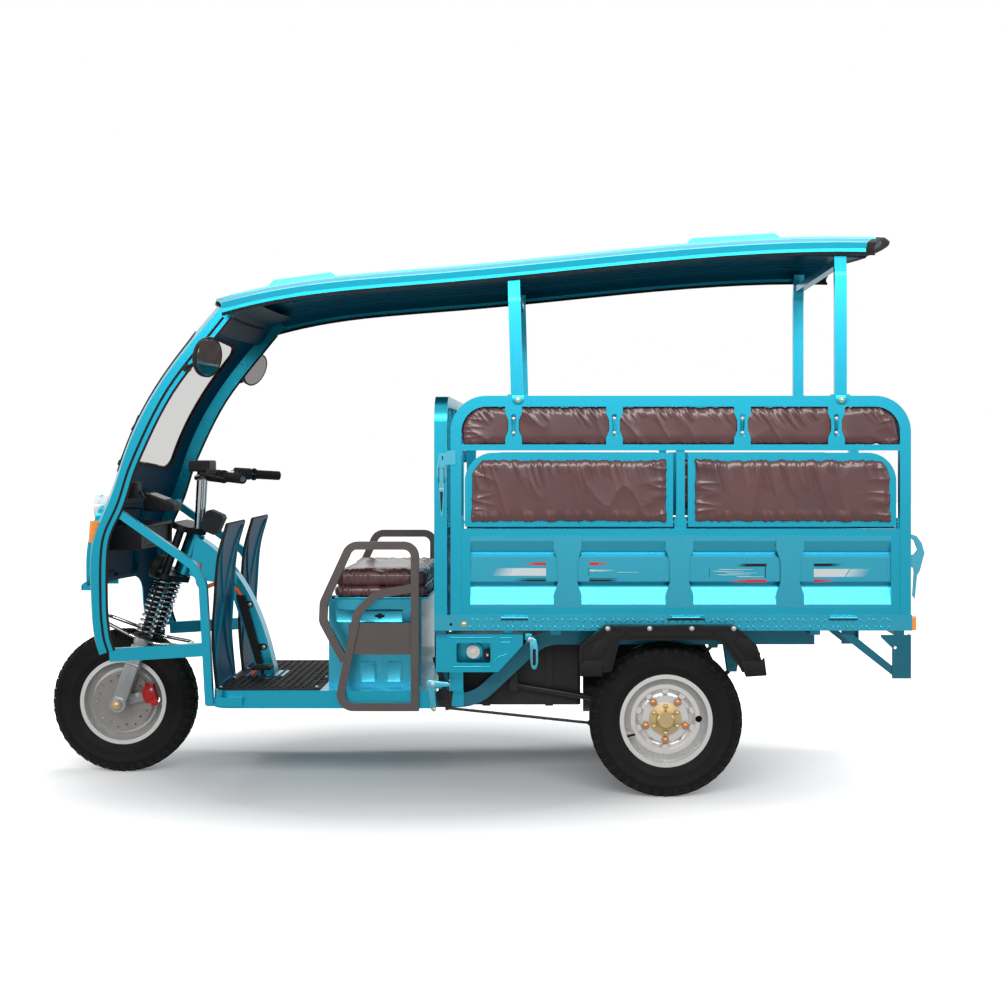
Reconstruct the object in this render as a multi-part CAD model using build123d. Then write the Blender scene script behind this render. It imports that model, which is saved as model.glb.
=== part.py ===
"""Three-wheeled electric passenger and load carrier with a canopy, drop-side bed and folding side benches.

Frame in millimetres: +X to the rear, +Y to the vehicle's right, +Z up. The origin is on the ground,
midway between the front of the front tyre and the rear latches, on the centreline.
"""

from build123d import *
import os
from math import atan2, cos, degrees, radians, sin, sqrt, tan

os.makedirs("parts", exist_ok=True)

# ---------------------------------------------------------------- driving dimensions
# wheels
wheel_base = 2014.0
front_axle_x = -1323.0
tyre_radius = 268.0
tyre_width = 112.0
rim_bead_radius = 152.0
rim_flange_radius = 166.0
rim_width = 92.0
rim_wall = 5.0
rear_track = 874.0
axle_tube_radius = 34.0
rear_axle_x = front_axle_x + wheel_base
rear_wheel_y = rear_track / 2

# steering geometry
rake_deg = 19.5
fork_offset = 44.0
fork_half_span = 98.0
slider_radius = 25.0
slider_length = 270.0
stanchion_radius = 15.0
spring_radius = 33.0
spring_turns = 11.0
head_tube_low = 506.0
head_tube_high = 665.0
head_tube_radius = 30.0
stem_radius = 16.0
clamp_gap = 5.0
clamp_height = 22.0
bar_height = 1110.0
bar_x = -1035.0
grip_radius = 18.0

# load bed
bed_front_x = -117.0
bed_rear_x = 1545.0
bed_half_width = 500.0
deck_z = 640.0
deck_thickness = 4.0
skirt_height = 55.0
skirt_thickness = 3.0

# side frames that stand on the bed
arch_front_x = bed_front_x + 57
arch_rear_x = bed_rear_x - 4
arch_top_z = 1402.0
arch_tube = 38.0
arch_corner = 125.0
stile_width = 31.0
mid_rail_z = 1222.0
mid_rail_height = 21.0
waist_rail_z = 927.0
waist_rail_height = 24.0
sill_rail_height = 25.0
strap_share = (0.137, 0.356, 0.634, 0.838)
strap_width = 58.0
strap_waist = 36.0
strap_thickness = 3.0

# pressed side panels
sheet = 2.5
groove_depth = 22.0
rib_share = (0.231, 0.497, 0.76)
rib_width = 97.0
rib_waist = 66.0
rib_proud = 7.0

# folding bench seats
bench_tube = 30.0
bench_bottom_z = 946.0
bench_top_z = 1204.0
bench_outer_corner = 100.0
bench_post_width = 30.0
bench_face_y = bed_half_width - 40
bench_pin_radius = 5.0
bench_lug = 6.0
bench_lug_gap = 5.0
bench_end = arch_tube + bench_lug + bench_lug_gap
bench_mid_x = (arch_front_x + arch_rear_x) / 2
bench_half_post = bench_post_width / 2 + bench_lug + bench_lug_gap
bench_front_x = (arch_front_x + bench_end, bench_mid_x - bench_half_post)
bench_rear_x = (bench_mid_x + bench_half_post, arch_rear_x - bench_end)
bench_pin_z = bench_bottom_z + bench_tube / 2
gate_pin_x = bed_rear_x + 11
gate_pin_z = deck_z + 6
gate_hinge_y = (-0.8 * bed_half_width, -0.26 * bed_half_width, 0.26 * bed_half_width, 0.74 * bed_half_width)
rear_reach = bed_rear_x + 46

# chassis
rail_y = 340.0
rail_width = 40.0
rail_height = 50.0
rail_low_z = 321.0
rail_high_z = 545.0
tie_hole_x = bed_rear_x - 58
tie_hole_z = 525.0
tie_hole_radius = 5.0
rail_front_x = -890.0
rail_end_x = 1228.0
bearer_front_x = bed_front_x + 22
battery_front_x = -60.0
battery_rear_x = rear_axle_x - 296
spring_half = 243.0
spring_eye_z = 441.0
rod_pivot_x = rear_axle_x - 537
rod_pivot_z = 367.0
mudguard_width = 56.0
mudguard_low_z = 448.0
kick_start_x = 18.0
kick_end_x = 258.0
kick_radius = 150.0

conduit_radius = 7.5

# driver's floor
floor_front_x = -915.0
floor_rear_x = -119.0
floor_half_width = 404.0
floor_top_z = 362.0
floor_skirt_bottom_z = 299.0
floor_corner = 70.0
floor_sheet = 3.0
mat_thickness = 5.0

# driver's seat
seat_box_front_x = -512.0
seat_box_rear_x = -178.0
seat_box_half_width = 300.0
seat_box_top_z = 676.0
seat_box_sheet = 3.0
seat_front_x = -492.0
seat_rear_x = -150.0
seat_half_width = 322.0
seat_height = 104.0

# arm guards beside the driver
guard_tube = 28.0
guard_depth = 25.0
guard_y = floor_half_width + guard_depth / 2

# cab shell
cab_half_width = 450.0
cab_sheet = 4.0
cab_crown = 80.0
cab_flange = 52.0
nose_bottom_z = 712.0
screen_half_width = cab_half_width - 75
screen_corner = 45.0
screen_glass = 4.0
screen_seal = 11.0
mirror_x = -901.0
mirror_radius = 70.0

# canopy
roof_half_width = bed_half_width
roof_sheet = 4.0
roof_crown_up = 84.0
roof_rear_bulge = 150.0
roof_front_x = -957.0
roof_front_bow = 111.0
roof_lip = 28.0
roof_pad_up = 22.0

# canopy posts
post_width = 42.0
post_depth = 25.0
post_x = (arch_front_x + 231, arch_rear_x - 244)
post_lean = (-11.0, 0.0)
post_bend_z = (1736.0, 1826.0)
post_top_z = (1800.0, 1880.0)
post_inset = 24.0


# ---------------------------------------------------------------- small tools
def block(x0, x1, y0, y1, z0, z1):
    return Pos((x0 + x1) / 2, (y0 + y1) / 2, (z0 + z1) / 2) * Box(x1 - x0, y1 - y0, z1 - z0)


def outline(points, radius=0.0):
    """Closed face through the points, all its corners rounded to the radius."""
    if radius:
        return make_face(FilletPolyline(*points, radius=radius, close=True))
    return make_face(Polyline(*points, close=True))


def prism_xz(face, y_low, y_high):
    return extrude(Plane.XZ.offset(-y_high) * face, amount=y_high - y_low)


def prism_yz(face, x_low, x_high):
    return extrude(Plane.YZ.offset(x_low) * face, amount=x_high - x_low)


def prism_xy(face, z_low, z_high):
    return extrude(Plane.XY.offset(z_low) * face, amount=z_high - z_low)


def rounded_top(x0, x1, z0, z1, radius):
    """Upright panel outline with its two upper corners rounded."""
    edges = [
        Line((x0, z0), (x1, z0)),
        Line((x1, z0), (x1, z1 - radius)),
        CenterArc((x1 - radius, z1 - radius), radius, 0, 90),
        Line((x1 - radius, z1), (x0 + radius, z1)),
        CenterArc((x0 + radius, z1 - radius), radius, 90, 90),
        Line((x0, z1 - radius), (x0, z0)),
    ]
    return make_face(edges)


def rod(start, end, radius):
    axis = Vector(*end) - Vector(*start)
    plane = Plane(origin=start, z_dir=axis)
    return extrude(plane * Circle(radius), amount=axis.length)


def tube(points, radius, bend):
    path = FilletPolyline(*points, radius=bend) if len(points) > 2 else Line(*points)
    return sweep(Plane(origin=path @ 0, z_dir=path % 0) * Circle(radius), path=path)


def flat_bar(points, width, bend, y_low, y_high):
    """Bar of constant width that follows a bent line in the XZ plane."""
    path = FilletPolyline(*points, radius=bend) if len(points) > 2 else Line(*points)
    start = path @ 0
    along = path % 0
    across = Plane(origin=(start.X, start.Y, 0), x_dir=(-along.Y, along.X, 0), z_dir=(along.X, along.Y, 0))
    ribbon = sweep(across * Rectangle(width, y_high - y_low), path=path)
    return Pos(0, (y_low + y_high) / 2, 0) * (Rot(90, 0, 0) * ribbon)


def left_and_right(shape):
    return Part() + [shape, mirror(shape, about=Plane.XZ)]


def ring(radius_in, radius_out, y_low, y_high):
    """Ring about the Y axis through the origin."""
    face = Circle(radius_out) - Circle(radius_in) if radius_in else Circle(radius_out)
    return prism_xz(face, y_low, y_high)


def turned(points):
    """Solid of revolution about the Y axis; points are (radius, y)."""
    face = make_face(Polyline(*[(r, y) for r, y in points], close=True))
    return revolve(face, axis=Axis.Y)


parts = {}


# ---------------------------------------------------------------- wheels
def tyre():
    half = tyre_width / 2
    profile = [
        (rim_bead_radius, -half + 15),
        (rim_flange_radius + 4, -half + 15),
        (rim_flange_radius + 22, -half + 3),
        (rim_flange_radius + 52, -half),
        (tyre_radius - 22, -half + 3),
        (tyre_radius - 6, -half + 12),
        (tyre_radius, -half + 30),
    ]
    return turned(profile + [(r, -y) for r, y in reversed(profile)])


def rim(disc_y):
    """Steel rim; the disc lies disc_y towards the outside (-Y) of the wheel centre, and its valve clears a brake there."""
    half = rim_width / 2
    outer = rim_bead_radius
    inner = outer - rim_wall
    ridge = 0.77 * outer
    barrel = turned([
        (outer, -half + 5), (rim_flange_radius, -half + 5), (rim_flange_radius, -half), (inner, -half),
        (inner, half), (rim_flange_radius, half), (rim_flange_radius, half - 5), (outer, half - 5),
    ])
    front = [(wheel_bore, 0), (80, 0), (90, 8), (ridge - 10, -6), (ridge + 5, -6), (inner, 16)]
    back = [(inner, 22), (ridge + 3, 0), (ridge - 8, 0), (92, 14), (78, 6), (wheel_bore, 6)]
    disc = turned([(r, y - disc_y) for r, y in front + back])
    for k in range(10):
        disc += Rot(0, 18 + k * 36, 0) * Pos(ridge - 18, 0, 0) * rod((0, -disc_y + 4, 0), (0, -disc_y - 4, 0), 11)
    hole = Rot(0, 0, 0) * rod((ridge, -disc_y - 20, 0), (ridge, -disc_y + 20, 0), 12)
    valve_side = 1 if disc_y else -1
    stem = Rot(0, 162, 0) * rod((inner + 1, valve_side * (half - 16), 0), (inner - 22, valve_side * (half + 2), 0), 4)
    return barrel + (disc - hole) + stem


spindle_radius = 15.0
wheel_bore = 34.0
bearing_gap = 0.05


def rear_hub():
    """Brake-drum hub with wheel nuts, cap bolts and a centre cap, outside towards -Y."""
    body = turned([
        (spindle_radius + bearing_gap, 60), (88, 60), (88, 28), (60, 6), (wheel_bore, 6), (wheel_bore, 0), (57, 0), (57, -8),
        (34, -12), (31, -34), (25, -39), (0, -39), (0, -31), (spindle_radius + bearing_gap, -31),
    ])
    bolts = [Rot(0, 30 + k * 60, 0) * Pos(45, 0, 0) * Rot(90, 0, 0) * extrude(RegularPolygon(6, 6), amount=15) for k in range(6)]
    nuts = [Rot(0, 90 + k * 72, 0) * Pos(73, 0, 0) * Rot(90, 0, 0) * extrude(RegularPolygon(9.5, 6), amount=12) for k in range(5)]
    return body + bolts + nuts


def rear_wheel_set(side, name):
    place = Pos(rear_axle_x, side * rear_wheel_y, tyre_radius)
    turn = Rot(0, 0, 0) if side < 0 else Rot(0, 0, 180)
    parts[f"rear_tyre_{name}"] = place * tyre()
    parts[f"rear_rim_{name}"] = place * turn * rim(disc_y=0)
    parts[f"rear_hub_{name}"] = place * turn * (rear_hub())


def front_wheel_set():
    place = Pos(front_axle_x, 0, tyre_radius)
    parts["front_tyre"] = place * tyre()
    hub = turned([
        (12 + bearing_gap, 46), (34, 46), (40, 20), (60, 4), (60, -2), (wheel_bore, -2), (wheel_bore, -8), (62, -8),
        (62, -44), (30, -50), (12 + bearing_gap, -50),
    ])
    parts["front_rim"] = place * (rim(disc_y=8) + hub)
    disc = ring(62, 112, -52, -48)
    holes = [Rot(0, k * 20, 0) * Pos(88 + 10 * (k % 2), 0, 0) * ring(0, 4, -55, -45) for k in range(18)]
    parts["front_brake_disc"] = place * ((disc + ring(30.5, 62, -53, -50.2)) - holes)


# ---------------------------------------------------------------- steering
def steer_location():
    foot = front_axle_x + fork_offset / cos(radians(rake_deg))
    rake = radians(rake_deg)
    return Location(Plane(origin=(foot, 0, tyre_radius), x_dir=(cos(rake), 0, -sin(rake)), z_dir=(sin(rake), 0, cos(rake))))


axle_drop = -fork_offset * tan(radians(rake_deg))


def fork():
    """Stem, both clamps, stanchions, sliders and the axle bolt, in the steering frame."""
    low = head_tube_low - clamp_gap
    high = head_tube_high + clamp_gap
    stem = Cylinder(stem_radius, high + clamp_height - low + clamp_height, align=(Align.CENTER, Align.CENTER, Align.MIN))
    shape = Pos(0, 0, low - clamp_height) * stem
    plate = Plane.XY * make_hull((
        Circle(head_tube_radius) + [Pos(-fork_offset, s * fork_half_span, 0) * Circle(spring_radius) for s in (-1, 1)]
    ).edges())
    shape += Pos(0, 0, low - clamp_height) * extrude(plate, amount=clamp_height)
    shape += Pos(0, 0, high) * extrude(plate, amount=clamp_height)
    for side in (-1, 1):
        leg = Pos(-fork_offset, side * fork_half_span, 0)
        shape += leg * Pos(0, 0, axle_drop) * Cylinder(slider_radius, slider_length, align=(Align.CENTER, Align.CENTER, Align.MIN))
        shape += leg * Pos(0, 0, axle_drop) * Rot(90, 0, 0) * Cylinder(slider_radius + 5, 50)
        shape += leg * Cylinder(stanchion_radius, high + clamp_height, align=(Align.CENTER, Align.CENTER, Align.MIN))
    axle = Pos(-fork_offset, 0, axle_drop) * Rot(90, 0, 0)
    shape += axle * Cylinder(12, 2 * fork_half_span)
    shape += axle * Cylinder(16, 2 * (fork_half_span + 38))
    shape -= axle * Cylinder(17, 2 * (fork_half_span - 25))
    return shape + axle * Cylinder(12, 2 * fork_half_span)


def fork_springs():
    """Coil springs on the stanchions, between the sliders and the lower clamp."""
    low = axle_drop + slider_length
    high = head_tube_low - clamp_gap - clamp_height
    wire = 4.6
    travel = high - low - 2 * wire - 0.6
    coil_line = Helix(travel / spring_turns, travel, spring_radius - wire)
    start = Plane(origin=coil_line @ 0, z_dir=coil_line % 0)
    one = Pos(0, 0, low + wire + 0.3) * sweep(start * RegularPolygon(wire, 6), path=coil_line, is_frenet=True)
    return Part() + [Pos(-fork_offset, side * fork_half_span, 0) * one for side in (-1, 1)]


def brake_caliper():
    body = block(90, 130, -67, -36, -30, 34) - ring(0, 117, -57, -43)
    arm = block(20, 130, -74, -67, -16, 20)
    return Pos(front_axle_x, 0, tyre_radius) * Rot(0, -15, 0) * (body + arm)


def fender_stays():
    """Bright tube loops before and behind the fork, over the tyre."""
    y = fork_half_span
    z = axle_drop + slider_length - 18
    front = [(-fork_offset, -y, z), (-fork_offset - 52, -y - 6, z + 4), (-fork_offset - 190, -62, z + 14)]
    rear = [(-fork_offset, -y, z), (-fork_offset + 54, -y - 6, z + 4), (-fork_offset + 156, -62, z + 26)]
    loops = [line + [(a, -b, c) for a, b, c in reversed(line)] for line in (front, rear)]
    return Part() + [tube(loop, 7, 32) for loop in loops]


def handlebar():
    """Swept bar, its grips, and the switch pods and levers inboard of them."""
    right = [(bar_x, 0, bar_height), (bar_x, 95, bar_height), (bar_x + 75, 225, bar_height + 12), (bar_x + 225, 360, bar_height)]
    left = [(x, -y, z) for x, y, z in right]
    bar = tube(right, 11, 40) + tube(left, 11, 40)
    grips, pods = Part(), Part()
    for start, end in (right[2:], left[2:]):
        at = [Vector(*start) + (Vector(*end) - Vector(*start)) * share for share in (0.02, 0.34, 0.42, 1.0)]
        side = 1 if end[1] > 0 else -1
        grips += rod(at[2], at[3], grip_radius) + rod(at[2], at[2] + (at[3] - at[2]) * 0.06, grip_radius + 6)
        pods += rod(at[0], at[1], 23)
        ahead = Vector(-48, side * 30, 6)
        pods += rod(at[0] * 0.5 + at[1] * 0.5, at[0] * 0.5 + at[1] * 0.5 + ahead, 8)
        pods += rod(at[0] * 0.5 + at[1] * 0.5 + ahead, at[3] + Vector(-60, side * 18, 0), 5)
    return bar, grips - bar, pods - bar


def steering():
    where = steer_location()
    frame = where * fork()
    bar, grips, pods = handlebar()
    top = (where * Pos(0, 0, head_tube_high + clamp_gap + clamp_height)).position
    risers = Part()
    for side in (-1, 1):
        risers += rod((top.X, side * 38, top.Z - 3), (bar_x, side * 38, bar_height), 12)
    parts["front_fork"] = frame
    parts["fork_springs"] = where * fork_springs()
    parts["fender_stays"] = where * fender_stays() - frame
    parts["brake_caliper"] = brake_caliper() - frame
    parts["handlebar"] = (bar + risers) - frame
    parts["hand_grips"] = grips
    clock = block(bar_x - 40, bar_x + 40, -62, 62, bar_height + 22, bar_height + 64)
    clock = fillet(clock.edges(), 8) + block(bar_x - 14, bar_x + 14, -28, 28, bar_height, bar_height + 24)
    lock = Pos(top.X + 52, 0, top.Z + 20) * Rot(0, 24, 0) * Box(70, 70, 82)
    lock = chamfer(lock.edges().filter_by(Axis.Y), 10)
    parts["handlebar_boxes"] = (clock + lock + pods) - frame - parts["handlebar"]


# ---------------------------------------------------------------- chassis
def chassis_frame():
    """Ladder frame: two kicked-up rails, cross members, floor joists and the uprights under the bed's front."""
    shape = Part()
    for side in (-1, 1):
        y0, y1 = sorted((side * (rail_y - rail_width / 2), side * (rail_y + rail_width / 2)))
        shape += flat_bar([(rail_front_x, rail_low_z), (kick_start_x, rail_low_z), (kick_end_x, rail_high_z), (rail_end_x, rail_high_z)],
                          rail_height, kick_radius, y0, y1)
        shape += block(bearer_front_x - 18, bearer_front_x + 18, y0, y1, rail_low_z, rail_high_z + rail_height / 2)
    inner = rail_y - rail_width / 2
    for x in (rail_front_x + 20, -620, -340, battery_front_x - 20):
        shape += block(x - 20, x + 20, -inner, inner, rail_low_z - 15, rail_low_z + 15)
    for x in (battery_rear_x - 20, rail_end_x - 45):
        shape += block(x - 20, x + 20, -inner, inner, rail_high_z - 20, rail_high_z + 20)
    half = floor_half_width - 30
    for x in (rail_front_x + 20, -640, -400, -150):
        shape += block(x - 14, x + 14, -half, half, rail_low_z + rail_height / 2, floor_top_z - floor_sheet)
    return shape


def bed_bearers():
    """Cross bearers between the rails and the bed floor, and the struts to the rear corner legs."""
    top = deck_z - deck_thickness
    low = rail_high_z + rail_height / 2
    half = bed_half_width - skirt_thickness
    span = rail_end_x - 20 - kick_end_x
    shape = Part()
    for x in [bearer_front_x] + [kick_end_x + share * span for share in (0.05, 0.36, 0.68, 1.0)] + [bed_rear_x - 45]:
        shape += block(x - 18, x + 18, -half, half, low, top)
    return shape


def bed_deck():
    """Floor sheet with a folded skirt, a raised tread plate and the hinge knuckles of the drop sides."""
    t = skirt_thickness
    low = deck_z - skirt_height
    top = deck_z - deck_thickness
    shape = block(bed_front_x, bed_rear_x, -bed_half_width, bed_half_width, top, deck_z)
    skirt = block(bed_front_x, bed_rear_x, -bed_half_width, bed_half_width, low, top)
    skirt -= block(bed_front_x + t, bed_rear_x - t, -bed_half_width + t, bed_half_width - t, low, deck_z)
    shape += skirt
    tread = bed_half_width - arch_tube - 6
    shape += block(bed_front_x + 55, bed_rear_x - 40, -tread, tread, deck_z, deck_z + 2)
    length = arch_rear_x - arch_front_x
    knuckles = Part()
    for share in (0.139, 0.511, 0.852):
        x = arch_front_x + share * length
        knuckles += rod((x - 48, -bed_half_width - 4, deck_z - 9), (x + 48, -bed_half_width - 4, deck_z - 9), 6)
        knuckles += block(x - 22, x + 22, -bed_half_width - 4, -bed_half_width, deck_z - 15, deck_z)
    return shape + (left_and_right(knuckles) - block(bed_front_x, bed_rear_x, -bed_half_width, bed_half_width, low, deck_z))


def main_beam():
    """Curved box beam that carries the head tube, with its foot plate on the floor."""
    top = [(-1052, 887), (-986, 843), (-931, 787), (-858, 682), (-790, 520), (-752, floor_top_z + 6)]
    low = [(-822, floor_top_z + 6), (-850, 480), (-895, 610), (-949, 705), (-1000, 718), (-1078, 745)]
    edges = [Spline(*top), Line(top[-1], low[0]), Spline(*low), Line(low[-1], top[0])]
    shape = prism_xz(make_face(edges), -38, 38)
    shape += block(-860, -715, -75, 75, floor_top_z, floor_top_z + 6)
    where = steer_location()
    shape += where * Pos(0, 0, head_tube_low) * Cylinder(head_tube_radius, head_tube_high - head_tube_low, align=(Align.CENTER, Align.CENTER, Align.MIN))
    return shape - where * Pos(0, 0, head_tube_low - 100) * Cylinder(stem_radius + bearing_gap, 400, align=(Align.CENTER, Align.CENTER, Align.MIN))


# ---------------------------------------------------------------- driver's floor, seat and guards
def floor_outline(x0, x1, half, radius):
    edges = [
        Line((x1, -half), (x1, half)), Line((x1, half), (x0 + radius, half)), CenterArc((x0 + radius, half - radius), radius, 90, 90),
        Line((x0, half - radius), (x0, radius - half)), CenterArc((x0 + radius, radius - half), radius, 180, 90), Line((x0 + radius, -half), (x1, -half)),
    ]
    return make_face(edges)


def floor_pan():
    outer = prism_xy(floor_outline(floor_front_x, floor_rear_x, floor_half_width, floor_corner), floor_skirt_bottom_z, floor_top_z)
    t = floor_sheet
    inner = prism_xy(floor_outline(floor_front_x + t, floor_rear_x - t, floor_half_width - t, floor_corner - t), floor_skirt_bottom_z, floor_top_z - t)
    shape = outer - inner
    return shape - block(floor_rear_x - 10, floor_rear_x + 5, -rail_y - 21, rail_y + 21, floor_skirt_bottom_z - 1, floor_top_z - t)


def floor_mat():
    """Ribbed rubber mat with a cut-out for the beam's foot."""
    x0, x1 = floor_front_x + 12, seat_box_front_x - 20
    half = floor_half_width - 12
    mat = prism_xy(floor_outline(x0, x1, half, floor_corner - 12), floor_top_z, floor_top_z + mat_thickness - 2)
    ribs = [block(x0 + 30, x1 - 15, y - 6, y + 6, floor_top_z + mat_thickness - 3, floor_top_z + mat_thickness) for y in [-half + 30 + k * (2 * half - 60) / 14 for k in range(15)]]
    return mat + ribs - block(-863, -712, -78, 78, floor_top_z - 1, floor_top_z + 20)


def leg_shields():
    """Curved splash shields either side of the beam, with a rolled border and crossed ribs behind."""
    path = Spline((-898, floor_top_z + mat_thickness - 1.7), (-912, 540), (-905, 680), (-893, 830), (-862, 950))
    start = path @ 0
    along = path % 0
    across = Plane(origin=(start.X, start.Y, 0), x_dir=(-along.Y, along.X, 0), z_dir=(along.X, along.Y, 0))
    width = floor_half_width - 94
    low, high = floor_top_z, 951.0
    border = Rectangle(width, high - low) - Rectangle(width - 28, high - low - 28)
    slope = degrees(atan2(high - low, width))
    brace = Rectangle(2000, 20)
    cross = (Rot(0, 0, slope) * brace + Rot(0, 0, -slope) * brace) & Rectangle(width, high - low)
    pattern = prism_yz(Pos(0, (low + high) / 2) * (border + cross), -1000, -800)
    sheet_part = Rot(90, 0, 0) * sweep(across * Rectangle(3, width), path=path)
    ribs = Rot(90, 0, 0) * sweep(across * Pos(-4, 0) * Rectangle(5, width), path=path) & pattern
    one = sheet_part + ribs
    return Part() + [Pos(0, side * (78 + width / 2), 0) * one for side in (-1, 1)]


def driver_seat_box():
    """Open-topped sheet box with pressed ribs, a recessed door in front and the lid's hinge ears."""
    x0, x1, w, t = seat_box_front_x, seat_box_rear_x, seat_box_half_width, seat_box_sheet
    low, top = floor_top_z, seat_box_top_z
    height = top - low
    shape = block(x0, x1, -w, w, low, top) - block(x0 + t, x1 - t, -w + t, w - t, low + t, top)
    door = Pos(0, (low + top) / 2) * RectangleRounded(1.1 * w, 0.62 * height, 20)
    shape += prism_yz(Pos(0, (low + top) / 2) * RectangleRounded(1.1 * w + 24, 0.62 * height + 24, 28), x0 - 4, x0) - prism_yz(door, x0 - 5, x0 + 1)
    length = x1 - x0
    for share in (0.2, 0.5, 0.8):
        rib = prism_xz(Pos(x0 + share * length, (low + top) / 2) * RectangleRounded(0.16 * length, 0.72 * height, 12), -w - 3, -w)
        shape += left_and_right(rib)
    x = x0 - 8
    ears = Part()
    for side in (-1, 1):
        y0, y1 = sorted((side * 0.8 * w, side * (0.8 * w + 12)))
        ears += block(x - 8, x0 + t, y0, y1, top - 30, top + 8)
    return shape + ears - rod((x, -0.9 * w, top), (x, 0.9 * w, top), 4 + bearing_gap)


def driver_seat():
    """Two-layer cushion on a sheet base that hinges at the box's front edge."""
    top = seat_box_top_z
    w = seat_half_width
    base = block(seat_front_x, seat_rear_x, -w + 12, w - 12, top + 1, top + 8)
    x = seat_box_front_x - 8
    for side in (-1, 1):
        y = side * (0.8 * seat_box_half_width - 14)
        base += block(x - 4, seat_front_x + 5, y - 6, y + 6, top + 1, top + 8)
        base += block(x - 4, x + 4, y - 6, y + 6, top - 4, top + 2)
        base += rod((x, y, top), (x, y + side * 24, top), 4)
    middle = top + 8 + 0.42 * (seat_height - 8)
    lower = block(seat_front_x - 8, seat_rear_x, -w, w, top + 8, middle)
    upper = block(seat_front_x - 8, seat_rear_x, -w, w, middle, top + seat_height)
    lower = fillet(lower.edges().filter_by(Axis.Z), 34)
    lower = fillet(lower.faces().filter_by(Axis.Z).edges(), 10)
    upper = fillet(upper.edges().filter_by(Axis.Z), 34)
    upper = fillet(upper.faces().sort_by(Axis.Z)[-1].edges(), 24)
    upper = fillet(upper.faces().sort_by(Axis.Z)[0].edges(), 8)
    return base + lower + upper


def arm_guards():
    """Tube frames beside the driver, bolted to the floor's edge."""
    d = guard_depth
    y1 = -guard_y + d / 2
    y0 = y1 - d
    w = guard_tube
    shape = flat_bar([(-191, 293), (-191, 876), (-420, 876), (-512, 676), (-515, 610), (-440, 470)], w, 40, y0, y1)
    shape += flat_bar([(-191, 728), (-330, 702), (-394, 640), (-462, 307), (-191, 307)], w, 45, y0, y1)
    shape += block(-425, -191, y0 + 8, y0 + 14, 492, 602)
    return left_and_right(shape)


# ---------------------------------------------------------------- cab shell, glass and roof
shell_line = [(-1294, 494), (-1312, 560), (-1322, 687), (-1315, 897), (-1259, 1038), (-1206, 1195), (-1083, 1441), (-901, 1676), (-838, 1750)]
roof_line = [(-1060, 1613), (-858, 1690), (-668, 1735), (-132, 1792), (599, 1863), (1240, 1903), (1600, 1892)]
roof_rise = [(0, 12), (15, 36), (62, 54), (104, 60), (114, 68), (276, 75), (288, 81)]


def along_line(points):
    path = Rot(90, 0, 0) * Spline(*points)
    start = path @ 0
    along = path % 0
    return path, Plane(origin=start, x_dir=(0, 1, 0), z_dir=along)


def skin_face(k, back):
    """Face enclosed by the cab's outer skin moved in by k, closed back behind it."""
    w = cab_half_width - k
    arc = ThreePointArc((-w, -k), (0, cab_crown - k), (w, -k))
    return make_face([Line((-w, -back), arc @ 0), arc, Line(arc @ 1, (w, -back)), Line((w, -back), (-w, -back))])


def cab_fill(k, back):
    path, plane = along_line(shell_line)
    return sweep(plane * skin_face(k, back), path=path)


def nose_pad(k):
    """Raised centre panel of the nose."""
    panel = Pos(0, 868) * RectangleRounded(2 * (0.72 * cab_half_width - k), 290 - 2 * k, 40 - k)
    return cab_fill(k - 12, cab_flange) & prism_yz(panel, -1600, -1150)


def visor():
    """Short lip over the front wheel."""
    lip = outline([(-1380, 760), (-1455, 712), (-1455, 694), (-1380, 694)])
    shape = fillet(prism_xz(lip, -150, 150).edges().filter_by(Axis.Z), 22)
    return shape - prism_xz(outline([(-1380, 755), (-1450, 709), (-1450, 690), (-1380, 690)]), -146, 146)


def screen_cutter(shrink):
    low, high = Vector(-1220, 0, 1107), Vector(-912, 0, 1585)
    up = (high - low).normalized()
    plane = Plane(origin=(low + high) / 2, x_dir=(0, 1, 0), z_dir=(-up.Z, 0, up.X))
    width = 2 * (screen_half_width - shrink)
    height = (high - low).length - 2 * shrink
    return extrude(plane * RectangleRounded(width, height, screen_corner), amount=280, both=True)


def roof_face(k, drop):
    """Face enclosed by the canopy's pressed section moved in by k, closed drop below the eaves."""
    w = roof_half_width - k
    right = [(w, -drop)] + [(roof_half_width - inset - (k if inset < 30 else 0), rise - (k if inset > 10 else 0)) for inset, rise in roof_rise]
    left = [(-y, z) for y, z in reversed(right)]
    over = FilletPolyline(*(right + [(0, roof_crown_up - k)] + left), radius=5)
    return make_face([over, Line(over @ 1, over @ 0)])


def roof_fill(k, drop):
    path, plane = along_line(roof_line)
    return sweep(plane * roof_face(k, drop), path=path)


def roof_height(x):
    """Height of the eave line at x."""
    for (x0, z0), (x1, z1) in zip(roof_line, roof_line[1:]):
        if x <= x1:
            return z0 + (z1 - z0) * (x - x0) / (x1 - x0)
    return roof_line[-1][1]


def roof_pads(k):
    """Raised pads pressed in the canopy, one near each end."""
    pads = Part()
    for x, length, width in ((-612, 250, 520), (950, 340, 560)):
        tall = 70
        pad = chamfer(Box(length - 2 * k, width - 2 * k, tall).faces().sort_by(Axis.Z)[-1].edges(), 20)
        slope = degrees(atan2(roof_height(x + 100) - roof_height(x - 100), 200))
        pads += Pos(x, 0, roof_height(x) + roof_crown_up + roof_pad_up - k - tall / 2) * Rot(0, -slope, 0) * pad
    return pads


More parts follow.
